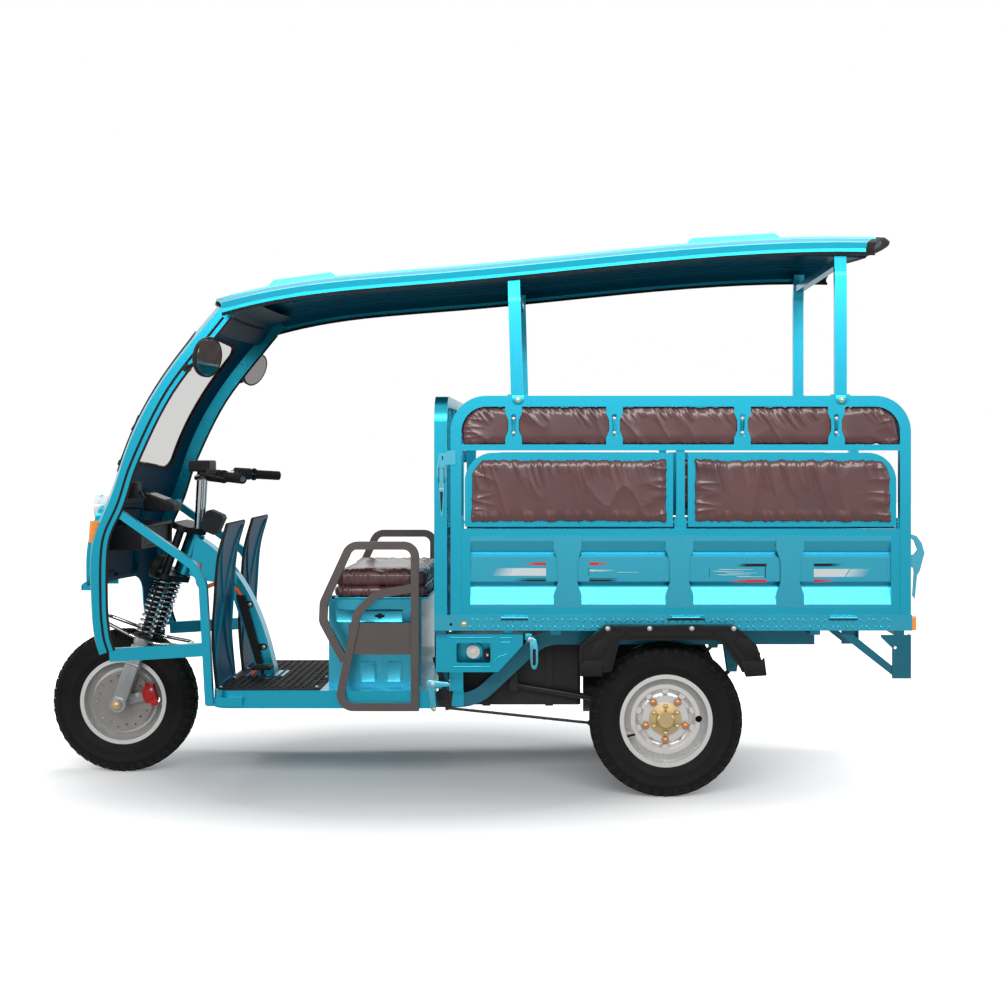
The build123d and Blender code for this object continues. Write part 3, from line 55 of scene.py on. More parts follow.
FRONT_AXLE_X = (TYRE_FRONT[0][0] + TYRE_FRONT[1][0]) / 2
FRAME_X0, FRAME_X1 = SIDE[0][0], SIDE[1][0]

# ---------------------------------------------------------------- further places, in metres
SIDE_Y = -0.5            # left face of the bed's side frame, its straps and its skirt
BAND_Y = -0.489          # left face of the pressed band on the drop side
BED_TOP = 0.642          # top of the bed's floor
FORK_RAKE = math.radians(19.5)
FORK_HALF = 0.098        # from the middle to a fork leg
STRAP_SHARE = (0.137, 0.356, 0.634, 0.838)
BAY_SHARE = (0.231, 0.497, 0.76)
CONDUIT_RADIUS = 0.0075
CONDUIT_LOOP = ((-0.880, -0.050, 0.667), (-0.900, -0.052, 0.704), (-0.962, -0.054, 0.718),
                (-1.030, -0.056, 0.688), (-1.048, -0.052, 0.735), (-1.036, -0.037, 0.786))
CONDUIT_TAIL = ((-0.808, -0.050, 0.411), (-0.816, -0.052, 0.388), (-0.836, -0.060, 0.368))

OUT_LEFT = (0, -1, 0)
MIRRORED = Matrix.Scale(-1, 4, (0, 1, 0))
WHITE = (1, 1, 1, 1)
ROAD_DUST = (0.32, 0.28, 0.23, 1)
WORLD_LIGHT = 0.26
# name, place, aim, width and height, power
LAMPS = (
    ("key_lamp", (0.1, -5.4, 3.3), (0.1, -0.3, 0.8), (6.4, 1.4), 230),
    ("top_lamp", (0.2, 0.5, 4.7), (0.2, 0.2, 0.0), (4.6, 2.0), 150),
    ("front_lamp", (-5.0, -2.4, 2.2), (-0.8, 0.0, 0.9), (1.6, 2.6), 20),
    ("rear_lamp", (5.4, -1.6, 2.4), (0.8, 0.0, 0.9), (1.6, 2.6), 20),
)


# ---------------------------------------------------------------- nodes
class Wiring:
    """A node tree, with a short way to add a node, set it and feed it."""

    def __init__(self, tree, clear=False):
        self.nodes, self.links = tree.nodes, tree.links
        if clear:
            self.nodes.clear()

    def add(self, kind, feeds=None, out=0, **settings):
        """Add a node; feeds gives each input a value or another node's output. Returns the output asked for."""
        node = self.nodes.new("ShaderNode" + kind)
        for label, value in settings.items():
            setattr(node, label, value)
        for socket, value in (feeds or {}).items():
            if isinstance(value, bpy.types.NodeSocket):
                self.links.new(value, node.inputs[socket])
            else:
                node.inputs[socket].default_value = value
        return node.outputs[out] if node.outputs else node

    def place(self, kind="Object"):
        return self.add("TexCoord", out=kind)

    def spread(self, value, low, high, start=0.0, end=1.0):
        feeds = {"Value": value, "From Min": low, "From Max": high, "To Min": start, "To Max": end}
        return self.add("MapRange", feeds)

    def blend(self, share, first, second, **settings):
        return self.add("Mix", {0: share, 6: first, 7: second}, 2, data_type="RGBA", **settings)

    def reckon(self, operation, first, second, **settings):
        return self.add("Math", {0: first, 1: second}, operation=operation, **settings)

    def facing(self, direction):
        """How far the surface faces the direction."""
        return self.add("VectorMath", {0: self.place("Normal"), 1: direction}, "Value", operation="DOT_PRODUCT")

    def distance(self, centre, squeeze):
        """Distance from a centre, after squeezing the axes."""
        moved = self.add("VectorMath", {0: self.place(), 1: centre}, operation="SUBTRACT")
        scaled = self.add("VectorMath", {0: moved, 1: squeeze}, operation="MULTIPLY")
        return self.add("VectorMath", {0: scaled}, "Value", operation="LENGTH")


# ---------------------------------------------------------------- camera, floor and light
def make_camera():
    data = bpy.data.cameras.new("camera")
    data.lens = 56.9
    data.sensor_width = 36.0
    data.shift_x = -0.0584
    data.shift_y = -0.0504
    camera = bpy.data.objects.new("camera", data)
    camera.location = (0.317, -6.0, 1.213)
    camera.rotation_euler = (math.radians(90), 0, 0)
    bpy.context.collection.objects.link(camera)
    bpy.context.scene.camera = camera


def area_lamp(name, place, aim, size, power):
    data = bpy.data.lights.new(name, "AREA")
    data.shape = "RECTANGLE"
    data.size, data.size_y = size
    data.energy = power
    lamp = bpy.data.objects.new(name, data)
    lamp.location = place
    lamp.rotation_euler = (Vector(aim) - Vector(place)).to_track_quat("-Z", "Y").to_euler()
    bpy.context.collection.objects.link(lamp)


def make_studio():
    """Floor, lamps, and a world that is white where it is seen and dimmer where it lights."""
    bpy.ops.mesh.primitive_plane_add(size=60, location=(0, 0, -0.0005))
    floor = bpy.context.object
    floor.name = "studio_floor"
    floor.data.materials.append(floor_material())
    for lamp in LAMPS:
        area_lamp(*lamp)
    world = bpy.context.scene.world or bpy.data.worlds.new("studio")
    bpy.context.scene.world = world
    world.use_nodes = True
    wires = Wiring(world.node_tree, clear=True)
    lit = wires.add("Background", {"Color": (0.97, 0.985, 1.0, 1), "Strength": WORLD_LIGHT})
    seen = wires.add("Background", {"Color": WHITE, "Strength": 1.0})
    ray = wires.add("LightPath").node.outputs
    straight = wires.reckon("MAXIMUM", ray["Is Camera Ray"], ray["Is Glossy Ray"])
    shown = wires.reckon("MAXIMUM", straight, ray["Is Transmission Ray"])
    wires.add("OutputWorld", {"Surface": wires.add("MixShader", {0: shown, 1: lit, 2: seen})})
    bpy.context.scene.view_settings.view_transform = "Standard"


def floor_material():
    """Pale floor that keeps the object's shadow and turns into the white surround further out."""
    mat = bpy.data.materials.new("pale_floor")
    mat.use_nodes = True
    wires = Wiring(mat.node_tree, clear=True)
    matt = wires.add("BsdfDiffuse", {"Color": (0.93, 0.93, 0.93, 1)})
    away = wires.distance((-0.22, 0.0, 0.0), (0.92, 1.0, 0.0))
    glow = wires.add("Emission", {"Color": WHITE, "Strength": wires.spread(away, 0.75, 2.1, 0.02, 1.0)})
    ray = wires.add("LightPath").node.outputs
    clear = wires.reckon("MAXIMUM", ray["Is Camera Ray"], ray["Is Transmission Ray"])
    dark = wires.add("Emission", {"Strength": 0.0})
    surround = wires.add("MixShader", {0: clear, 1: dark, 2: glow})
    seen = wires.add("AddShader", {0: matt, 1: surround})
    mirrored = wires.add("Emission", {"Strength": 0.6})
    surface = wires.add("MixShader", {0: ray["Is Glossy Ray"], 1: seen, 2: mirrored})
    wires.add("OutputMaterial", {"Surface": surface})
    return mat


# ---------------------------------------------------------------- modelling helpers
def take(obj):
    """Make obj the only selected object, and the active one."""
    bpy.ops.object.select_all(action="DESELECT")
    obj.select_set(True)
    bpy.context.view_layer.objects.active = obj


def settle(obj):
    """Put the object's place, turn and scale into its mesh."""
    take(obj)
    bpy.ops.object.transform_apply(location=True, rotation=True, scale=True)
    return obj


def started(name, finish):
    """Name the primitive that was just added and give it its finish."""
    obj = bpy.context.object
    obj.name = obj.data.name = name
    obj.data.materials.clear()
    obj.data.materials.append(FINISH[finish])
    return settle(obj)


def cube(name, low, high, finish):
    middle = [(a + b) / 2 for a, b in zip(low, high)]
    bpy.ops.mesh.primitive_cube_add(size=1, location=middle, scale=[b - a for a, b in zip(low, high)])
    return started(name, finish)


def cylinder(name, start, end, radius, finish, sides=24):
    start, end = Vector(start), Vector(end)
    turn = (end - start).to_track_quat("Z", "Y").to_euler()
    bpy.ops.mesh.primitive_cylinder_add(
        vertices=sides, radius=radius, depth=(end - start).length, location=(start + end) / 2, rotation=turn)
    return started(name, finish)


def modify(obj, kind, **settings):
    take(obj)
    mod = obj.modifiers.new(kind.lower(), kind)
    for label, value in settings.items():
        setattr(mod, label, value)
    bpy.ops.object.modifier_apply(modifier=mod.name)
    return obj


def rounded(obj, width, segments=2, angle=30):
    return modify(obj, "BEVEL", width=width, segments=segments, limit_method="ANGLE", angle_limit=math.radians(angle))


def smooth(obj, angle=35):
    take(obj)
    bpy.ops.object.shade_smooth_by_angle(angle=math.radians(angle))
    return obj


@contextmanager
def editing(obj, kind="FACE"):
    """Edit mode on obj with nothing selected."""
    take(obj)
    bpy.ops.object.mode_set(mode="EDIT")
    bpy.ops.mesh.select_mode(type=kind)
    bpy.ops.mesh.select_all(action="DESELECT")
    yield bmesh.from_edit_mesh(obj.data)
    bpy.ops.object.mode_set(mode="OBJECT")


def pick(obj, bm, elements, test):
    """Select the faces, edges or verts of an edited mesh that pass the test."""
    bm.normal_update()
    for item in elements:
        item.select_set(test(item))
    bm.select_flush_mode()
    bmesh.update_edit_mesh(obj.data)


def middle_of(item):
    return sum((v.co for v in item.verts), Vector()) / len(item.verts)


def tidy_mesh(obj):
    """Merge doubles and turn all faces outwards."""
    with editing(obj, "VERT"):
        bpy.ops.mesh.select_all(action="SELECT")
        bpy.ops.mesh.remove_doubles(threshold=0.00005)
        bpy.ops.mesh.normals_make_consistent(inside=False)
    return obj


def copied(obj, matrix, name=None):
    new = obj.copy()
    new.data = obj.data.copy()
    new.name = new.data.name = name or obj.name
    bpy.context.collection.objects.link(new)
    new.data.transform(matrix)
    if matrix.determinant() < 0:
        new.data.flip_normals()
    return new


def joined(objs, name):
    take(objs[0])
    for obj in objs:
        obj.select_set(True)
    if len(objs) > 1:
        bpy.ops.object.join()
    objs[0].name = objs[0].data.name = name
    return objs[0]


def opposite(obj, name):
    """Copy on the vehicle's other side."""
    return copied(obj, MIRRORED, name)


def about_axle(x, z, angle):
    """Turn about a crosswise axle."""
    return Matrix.Translation((x, 0, z)) @ Matrix.Rotation(angle, 4, "Y") @ Matrix.Translation((-x, 0, -z))


def spun(name, profile, x, z, finish, steps):
    """Shape turned about a crosswise axle from a closed loop of (radius, y) points."""
    bpy.ops.mesh.primitive_circle_add(vertices=len(profile), radius=0.01)
    obj = started(name, finish)
    for vertex, (radius, y) in zip(obj.data.vertices, profile):
        vertex.co = (x, y, z + radius)
    with editing(obj, "VERT"):
        bpy.ops.mesh.select_all(action="SELECT")
        bpy.ops.mesh.spin(steps=steps, angle=2 * math.pi, center=(x, 0, z), axis=(0, 1, 0))
    return tidy_mesh(obj)


def block(name, low, high, finish, edge, segments=2):
    """Cube with rounded edges."""
    return rounded(cube(name, low, high, finish), edge, segments)


def pin(name, start, end, radius, finish, sides, edge, segments=1):
    """Cylinder with rounded ends."""
    return rounded(cylinder(name, start, end, radius, finish, sides), edge, segments)


def stepped(obj, towards, insets, move=None, push=None, least=0.0):
    """Inset the faces that look towards a direction and are larger than least, then move or extrude them."""
    towards = Vector(towards)
    with editing(obj) as bm:
        pick(obj, bm, bm.faces, lambda f: f.normal.dot(towards) > 0.9 and f.calc_area() > least)
        for thickness, depth in insets:
            bpy.ops.mesh.inset(thickness=thickness, depth=depth)
        if move:
            bpy.ops.transform.translate(value=move)
        if push:
            bpy.ops.mesh.extrude_region_move(TRANSFORM_OT_translate={"value": push})
    return obj


def shifted(obj, test, value):
    """Move the corners that pass the test."""
    with editing(obj, "VERT") as bm:
        pick(obj, bm, bm.verts, test)
        bpy.ops.transform.translate(value=value)
    return obj


def set_on(piece, body):
    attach(piece, body)
    return piece


def fit(pieces, name, body="body", angle=None):
    """Join the pieces as one, smooth it where an angle is given, and set it on its body."""
    whole = joined(pieces, name)
    if angle:
        smooth(whole, angle)
    return set_on(whole, body)


def fit_both(pieces, name, angle=None, body="body"):
    """The same for left-hand pieces and their opposites."""
    whole = joined(pieces, f"{name}_left")
    if angle:
        smooth(whole, angle)
    other = opposite(whole, f"{name}_right")
    set_on(whole, body)
    set_on(other, body.replace("left", "right"))


# ---------------------------------------------------------------- conduit
def conduit(name, points):
    """Tube along the spline of a route's points, and the points that it follows."""
    curve = bpy.data.curves.new(name, "CURVE")
    curve.dimensions = "3D"
    curve.resolution_u = 24
    spline = curve.splines.new("NURBS")
    spline.points.add(len(points) - 1)
    for point, place in zip(spline.points, points):
        point.co = (*place, 1)
    spline.order_u = 3
    spline.use_endpoint_u = True
    cord = bpy.data.objects.new(name, curve)
    bpy.context.collection.objects.link(cord)
    line = bpy.data.meshes.new_from_object(cord)
    path = [tuple(v.co) for v in line.vertices]
    bpy.data.meshes.remove(line)
    curve.bevel_depth = CONDUIT_RADIUS
    curve.bevel_resolution = 6
    curve.use_fill_caps = True
    take(cord)
    bpy.ops.object.convert(target="MESH")
    cord = bpy.context.object
    for face in cord.data.polygons:
        face.use_smooth = True
    return set_on(cord, "body"), path


def make_conduits():
    """The orange conduit's loop under the beam, and its short stub between the cover and the floor."""
    loop, path = conduit("conduit_loop", CONDUIT_LOOP)
    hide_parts("wiring_conduit")
    stub, _ = conduit("conduit_stub", CONDUIT_TAIL)
    return loop, stub


make_camera()
CONDUITS = make_conduits()
make_studio()


# ---------------------------------------------------------------- shared surface effects
def mottle(wires, given):
    """Soft variation between two colours."""
    broad = wires.add("TexNoise", {"Vector": wires.place(), "Scale": given["Scale"], "Detail": 4.0})
    share = wires.reckon("MULTIPLY", wires.spread(broad, 0.2, 0.8), given["Amount"])
    return [wires.blend(share, given["Colour"], given["Second"])]


def road_dust(wires, given):
    """Road dust that fades out above a height, broken up by noise."""
    height = wires.add("SeparateXYZ", {0: wires.place()}, "Z")
    fall = wires.spread(height, 0.0, given["Top"], 1.0, 0.0)
    grit = wires.add("TexNoise", {"Vector": wires.place(), "Scale": 38.0, "Detail": 6.0})
    share = wires.reckon("MULTIPLY", wires.reckon("MULTIPLY", fall, grit), given["Amount"], use_clamp=True)
    return [wires.blend(share, given["Colour"], given["Dust"])]


def fine_grain(wires, given):
    """Fine relief: pebbled grain or orange peel, with the wanted scale and sharpness."""
    where = {"Vector": wires.place(), "Scale": given["Scale"]}
    soft, cells = wires.add("TexNoise", where), wires.add("TexVoronoi", where)
    return [wires.add("Mix", {0: given["Sharp"], 2: soft, 3: cells})]


def creases(wires, given):
    """Soft creases of pulled vinyl: warped ridges."""
    where = {"Vector": wires.place(), "Scale": given["Scale"], "Distortion": given["Warp"]}
    return [wires.add("TexNoise", {**where, "Detail": 3.0, "Roughness": 0.42}, noise_type="RIDGED_MULTIFRACTAL")]


def painted_inner_shade(wires, given):
    """Painted shade: darker teal on the faces that look away from the given outside direction, where the shade falls.
    """
    mask = wires.spread(wires.facing(given["Outside"]), -0.1, -0.35)
    return [wires.blend(mask, given["Colour"], given["Inner"]), mask]


def make_group(fill, inputs, outputs):
    """One shared effect. A float input has a float socket, a triple a vector, and the rest are colours."""
    tree = bpy.data.node_groups.new(fill.__name__, "ShaderNodeTree")
    for label, value in inputs.items():
        kind = "Float" if isinstance(value, float) else "Vector" if value and len(value) == 3 else "Color"
        socket = tree.interface.new_socket(name=label, in_out="INPUT", socket_type="NodeSocket" + kind)
        if value is not None:
            socket.default_value = value
    for label in outputs:
        kind = "Color" if label == "Colour" else "Float"
        tree.interface.new_socket(name=label, in_out="OUTPUT", socket_type="NodeSocket" + kind)
    given, out = tree.nodes.new("NodeGroupInput"), tree.nodes.new("NodeGroupOutput")
    for label, socket in zip(outputs, fill(Wiring(tree), given.outputs)):
        tree.links.new(socket, out.inputs[label])
    return tree


MOTTLE = make_group(mottle, {"Colour": None, "Second": None, "Scale": 6.0, "Amount": 0.5}, ["Colour"])
DUST = make_group(road_dust, {"Colour": None, "Dust": ROAD_DUST, "Top": 0.5, "Amount": 0.3}, ["Colour"])
GRAIN = make_group(fine_grain, {"Scale": 300.0, "Sharp": 0.5}, ["Height"])
CREASE = make_group(creases, {"Scale": 9.0, "Warp": 1.4}, ["Height"])
INNER_SHADE = make_group(painted_inner_shade, {"Outside": (0, 0, 1), "Colour": None, "Inner": (0, 0.05, 0.08, 1)}, ["Colour", "Mask"])


class Finish(Wiring):
    """One material in the making: its Principled shader and short ways to feed it."""

    def __init__(self, name, colour, second=None, scale=6.0, amount=0.5, **fixed):
        self.mat = bpy.data.materials.new(name)
        self.mat.use_nodes = True
        super().__init__(self.mat.node_tree)
        self.shader = self.nodes["Principled BSDF"]
        self.shader.inputs["Base Color"].default_value = (*colour, 1)
        for label, value in fixed.items():
            self.shader.inputs[label.replace("_", " ")].default_value = value
        if second:
            self.tint(MOTTLE, Colour=(*colour, 1), Second=(*second, 1), Scale=scale, Amount=amount)

    def coloured(self, colour):
        """Feed the shader with this colour, which the next effect starts from."""
        self.colour = colour
        self.links.new(colour, self.shader.inputs["Base Color"])
        return self

    def tint(self, tree, **values):
        """Place a shared colour effect."""
        return self.coloured(self.add("Group", values, node_tree=tree))

    def dusty(self, top, amount, dust=ROAD_DUST):
        return self.tint(DUST, Colour=self.colour, Top=top, Amount=amount, Dust=dust)

    def banded(self, centre, squeeze, low, high, colour):
        """Second colour where the squeezed distance from the centre lies past low."""
        share = self.spread(self.distance(centre, squeeze), low, high)
        return self.coloured(self.blend(share, self.colour, (*colour, 1)))

    def painted_reflection_bands(self):
        """Painted reflection: dark and bright streaks by the way the surface faces, standing in for the surroundings
        that polished round bars mirror.
        """
        ramp = self.add("ValToRGB", {"Fac": self.spread(self.facing((0.42, 0.0, 0.9)), -1.0, 1.0)})
        stops = ((0.0, 0.3), (0.3, 0.12), (0.42, 0.03), (0.5, 0.55), (0.66, 1.0), (0.8, 0.4), (1.0, 0.85))
        elements = ramp.node.color_ramp.elements
        while len(elements) < len(stops):
            elements.new(0.5)
        for element, (position, grey) in zip(elements, stops):
            element.position = position
            element.color = (grey, grey, grey * 1.02, 1)
        return self.coloured(self.blend(0.9, self.colour, ramp, blend_type="MULTIPLY"))

    def inner_shaded(self, outside, inner):
        """Painted shade on the side turned away from the outside direction, with less metal and coat there."""
        self.tint(INNER_SHADE, Colour=self.colour, Outside=outside, Inner=(*inner, 1))
        for label, shown in (("Metallic", 0.84), ("Coat Weight", 0.35)):
            level = self.spread(self.colour.node.outputs["Mask"], 0.0, 1.0, shown, 0.0)
            self.links.new(level, self.shader.inputs[label])
        return self

    def bump(self, height, strength, distance=0.001):
        taken = self.shader.inputs["Normal"]
        feeds = {"Strength": strength, "Distance": distance, "Height": height}
        if taken.is_linked:
            feeds["Normal"] = taken.links[0].from_socket
        self.links.new(self.add("Bump", feeds), taken)
        return self

    def grain(self, scale, strength, sharp=0.4):
        return self.bump(self.add("Group", {"Scale": scale, "Sharp": sharp}, node_tree=GRAIN), strength)

    def creased(self, scale, warp, strength, depth):
        return self.bump(self.add("Group", {"Scale": scale, "Warp": warp}, node_tree=CREASE), strength, depth)

    def gloss(self, low, high, scale=14.0):
        """Roughness that wanders between low and high."""
        wander = self.add("TexNoise", {"Vector": self.place(), "Scale": scale, "Detail": 2.0})
        self.links.new(self.spread(wander, 0.15, 0.85, low, high), self.shader.inputs["Roughness"])
        return self


TEAL = ((0.008, 0.39, 0.55), (0.006, 0.35, 0.5))
PAINT = {"Metallic": 0.84, "Coat_Weight": 0.35, "Coat_Roughness": 0.2}
BLACK = (0.008, 0.008, 0.009)
GREY = ((0.33, 0.335, 0.34), (0.25, 0.25, 0.255))
GOLD = ((0.55, 0.4, 0.17), (0.66, 0.52, 0.32))
FRONT_HUB, REAR_HUB = (FRONT_AXLE_X, 0, TYRE_RADIUS), (REAR_AXLE_X, 0, TYRE_RADIUS)


def make_finishes():
    made = {}

    def add(name, colour, second, scale, amount, gloss, **fixed):
        made[name] = Finish(name, colour, second, scale, amount, **fixed).gloss(*gloss)
        return made[name]

    add("teal_paint", *TEAL, 2.2, 0.6, (0.28, 0.31, 6), **PAINT)
    add("teal_sheet", *TEAL, 1.6, 0.6, (0.255, 0.28, 5), Metallic=0.84, Coat_Weight=1.0, Coat_Roughness=0.3)
    # Painted shade on the canopy's underside, the cab's inside and the shields' inner faces: the last colour is the
    # shade.
    for name, scale, low, outside, inner in (
        ("teal_canopy", 1.2, 0.28, (0, 0, 1), (0.0, 0.06, 0.1)),
        ("teal_cab", 1.4, 0.26, (-1, 0, 0.35), (0.001, 0.045, 0.09)),
        ("teal_shield", 1.4, 0.28, (-1, 0, 0.1), (0.001, 0.11, 0.21)),
    ):
        add(name, *TEAL, scale, 0.6, (low, low + 0.03, 4), Specular_IOR_Level=0.03, **PAINT).inner_shaded(outside, inner)
    add("latch_teal", (0.10, 0.5, 0.66), (0.06, 0.42, 0.58), 20, 0.6, (0.2, 0.28), Metallic=0.85, Coat_Weight=0.3)
    # Near-black teal for the cab header: painted shade on a sheet seen from below, under the canopy.
    add("teal_header_shade", (0.0, 0.028, 0.05), (0.0, 0.02, 0.036), 3, 0.6, (0.35, 0.45), Specular_IOR_Level=0.03)
    # Darker teal on the frame and bearers under the bed: painted shade, with road dust near the ground.
    add("teal_under_shade", (0.0, 0.14, 0.21), (0.0, 0.10, 0.155), 2.5, 0.6, (0.3, 0.42),
        Metallic=0.6, Coat_Weight=0.2).dusty(0.7, 0.15)
    add("guard_paint", (0.095, 0.081, 0.076), (0.07, 0.06, 0.057), 8, 0.6, (0.34, 0.48),
        Metallic=0.25, Specular_IOR_Level=0.35).grain(700, 0.12)
    add("black_paint", BLACK, (0.013, 0.012, 0.012), 9, 0.6, (0.32, 0.48),
        Specular_IOR_Level=0.28).dusty(0.45, 0.14).grain(500, 0.1)
    add("fork_paint", *GREY, 20, 0.5, (0.32, 0.46),
        Metallic=0.2, Specular_IOR_Level=0.3).banded((FRONT_AXLE_X, 0, 0), (0, 0, 1), 0.515, 0.525, BLACK)
    add("black_plastic", BLACK, (0.014, 0.014, 0.015), 12, 0.6, (0.42, 0.58), Specular_IOR_Level=0.2).grain(1100, 0.3, 0.8)
    add("trim_rubber", (0.007, 0.007, 0.008), (0.012, 0.012, 0.012), 15, 0.5, (0.5, 0.66),
        Specular_IOR_Level=0.16).grain(900, 0.2)
    add("mat_rubber", (0.012, 0.012, 0.013), (0.026, 0.025, 0.024), 7, 0.7, (0.55, 0.75),
        Specular_IOR_Level=0.2).grain(420, 0.4, 0.7)
    add("tyre_rubber", (0.006, 0.006, 0.006), (0.011, 0.0105, 0.01), 18, 0.6, (0.6, 0.8),
        Specular_IOR_Level=0.12).dusty(0.3, 0.12, (0.10, 0.09, 0.08, 1)).grain(650, 0.25)
    add("silver_rim", (0.72, 0.72, 0.71), (0.6, 0.6, 0.59), 14, 0.5, (0.24, 0.36),
        Metallic=0.72, Coat_Weight=0.2).dusty(0.5, 0.12)
    add("bare_steel", (0.55, 0.55, 0.56), (0.42, 0.42, 0.43), 25, 0.6, (0.28, 0.46), Metallic=0.95).grain(800, 0.12)
    add("chrome", (0.85, 0.86, 0.87), (0.75, 0.76, 0.77), 20, 0.4, (0.1, 0.18), Metallic=1.0).painted_reflection_bands()
    add("disc_steel", (0.30, 0.285, 0.27), (0.2, 0.19, 0.18), 25, 0.7, (0.34, 0.5), Metallic=0.85).grain(800, 0.12)
    add("zinc_gold", *GOLD, 30, 0.8, (0.26, 0.4), Metallic=0.9).grain(700, 0.1)
    add("hub_gold", *GOLD, 30, 0.8, (0.26, 0.4), Metallic=0.9).banded(
        REAR_HUB, (1, 0, 1), 0.0615, 0.0625, (0.5, 0.235, 0.115))
    add("decal_red", (0.55, 0.008, 0.012), (0.45, 0.006, 0.01), 20, 0.5, (0.25, 0.35), Coat_Weight=0.4)
    # Black for printed stripes and the seat box latch; also the painted shade in holes, slots and openings.
    add("black_marks_and_shade", (0.006, 0.007, 0.008), (0.014, 0.014, 0.014), 20, 0.5, (0.25, 0.35), Specular_IOR_Level=0.25)
    add("decal_silver", (0.6, 0.64, 0.66), (0.48, 0.56, 0.6), 14, 0.6, (0.25, 0.35), Metallic=0.35, Coat_Weight=0.3)
    add("mirror_glass", (0.42, 0.41, 0.4), (0.34, 0.33, 0.32), 9, 0.4, (0.03, 0.06), Metallic=1.0)
    add("socket_white", (0.62, 0.6, 0.58), (0.5, 0.48, 0.46), 30, 0.5, (0.35, 0.5))
    add("copper_nut", (0.6, 0.3, 0.15), (0.5, 0.22, 0.1), 40, 0.6, (0.26, 0.4), Metallic=0.9)
    add("caliper_red", (0.3, 0.3, 0.305), (0.22, 0.22, 0.225), 20, 0.5, (0.28, 0.4),
        Metallic=0.3, Specular_IOR_Level=0.4).banded(FRONT_HUB, (1, 0, 1), 0.083, 0.0845, (0.5, 0.012, 0.01))
    add("conduit_orange", (0.75, 0.1, 0.015), (0.6, 0.07, 0.01), 20, 0.5, (0.4, 0.5))
    add("clear_lamp", (0.82, 0.84, 0.86), (0.7, 0.73, 0.76), 40, 0.5, (0.08, 0.16), Metallic=0.1, Coat_Weight=0.8)
    add("slider_grey", (0.36, 0.36, 0.37), (0.26, 0.26, 0.27), 20, 0.5, (0.34, 0.48), Metallic=0.7)
    add("orange_lamp", (0.95, 0.3, 0.02), (0.85, 0.2, 0.01), 30, 0.6, (0.12, 0.2), Coat_Weight=0.8)
    add("maroon_vinyl", (0.095, 0.026, 0.026), (0.055, 0.015, 0.016), 5, 0.7, (0.26, 0.44, 9),
        Coat_Weight=0.5, Coat_Roughness=0.14).creased(7.0, 1.6, 0.28, 0.004).creased(26.0, 1.2, 0.14, 0.0015).grain(900, 0.1)
    made["tinted_glass"] = Finish(
        "tinted_glass", (0.66, 0.655, 0.65), Transmission_Weight=1.0, IOR=1.03, Roughness=0.02,
        Metallic=0.0, Specular_IOR_Level=0.6, Coat_Weight=0.25)
    return {name: finish.mat for name, finish in made.items()}


FINISH = make_finishes()

# ---------------------------------------------------------------- finishes on the carried-over pieces
NODE_FINISH = {
    "guard_paint": "arm_guards",
    "black_paint": "battery_box rear_axle rear_suspension brake_lever",
    "black_plastic": "handlebar_boxes cab_fittings",
    "trim_rubber": "mudguards rubber_trim hand_grips",
    "mat_rubber": "floor_mat",
    "tyre_rubber": "front_tyre rear_tyre_left rear_tyre_right",
    "silver_rim": "front_rim rear_rim_left rear_rim_right",
    "hub_gold": "rear_hub_left rear_hub_right",
    "fork_paint": "front_fork",
    "disc_steel": "front_brake_disc",
    "chrome": "handlebar fender_stays fork_springs",
    "caliper_red": "brake_caliper",
    "conduit_orange": "wiring_conduit",
    "clear_lamp": "headlamps",
    "orange_lamp": "signal_lamps",
    "tinted_glass": "windscreen",
    "maroon_vinyl": "driver_seat",
    "teal_under_shade": "chassis_frame bed_bearers",
    "teal_sheet": "side_panel_left side_panel_right tailgate bed_deck seat_box",
    "teal_shield": "leg_shields",
    "latch_teal": "bed_latches",
    "teal_canopy": "roof",
    "teal_cab": "cab_shell",
}


def dress_nodes():
    chosen = {node: finish for finish, nodes in NODE_FINISH.items() for node in nodes.split()}
    for name, obj in NODES.items():
        for slot in obj.material_slots:
            slot.material = FINISH[chosen.get(name, "teal_paint")]


dress_nodes()
for piece in CONDUITS:
    piece.data.materials.append(FINISH["conduit_orange"])


# ---------------------------------------------------------------- cushions
def puff(obj, voxel, cap, pressure=4.0):
    """Blow the form up as cloth, with the travel of each point capped, then subdivide once."""
    modify(obj, "REMESH", mode="VOXEL", voxel_size=voxel)
    rest = [v.co.copy() for v in obj.data.vertices]
    cloth = obj.modifiers.new("cloth", "CLOTH")
    cloth.settings.quality = 4
    cloth.settings.use_pressure = True
    cloth.settings.uniform_pressure_force = pressure
    cloth.settings.effector_weights.gravity = 0
    cloth.point_cache.frame_start, cloth.point_cache.frame_end = 1, 20
    for step in range(1, 21):
        bpy.context.scene.frame_set(step)
    blown = obj.evaluated_get(bpy.context.evaluated_depsgraph_get())
    moved = [v.co.copy() for v in blown.data.vertices]
    obj.modifiers.remove(cloth)
    bpy.context.scene.frame_set(1)
    for vertex, old, new in zip(obj.data.vertices, rest, moved):
        shift = new - old
        vertex.co = old + shift * min(1.0, cap / max(shift.length, 1e-6))
    return modify(obj, "SUBSURF", levels=1, render_levels=1)


def ridge(x, y, z):
    """Sharp-topped noise from 0 to 1."""
    return (1 - abs(noise.noise(Vector((x, y, z))))) ** 5


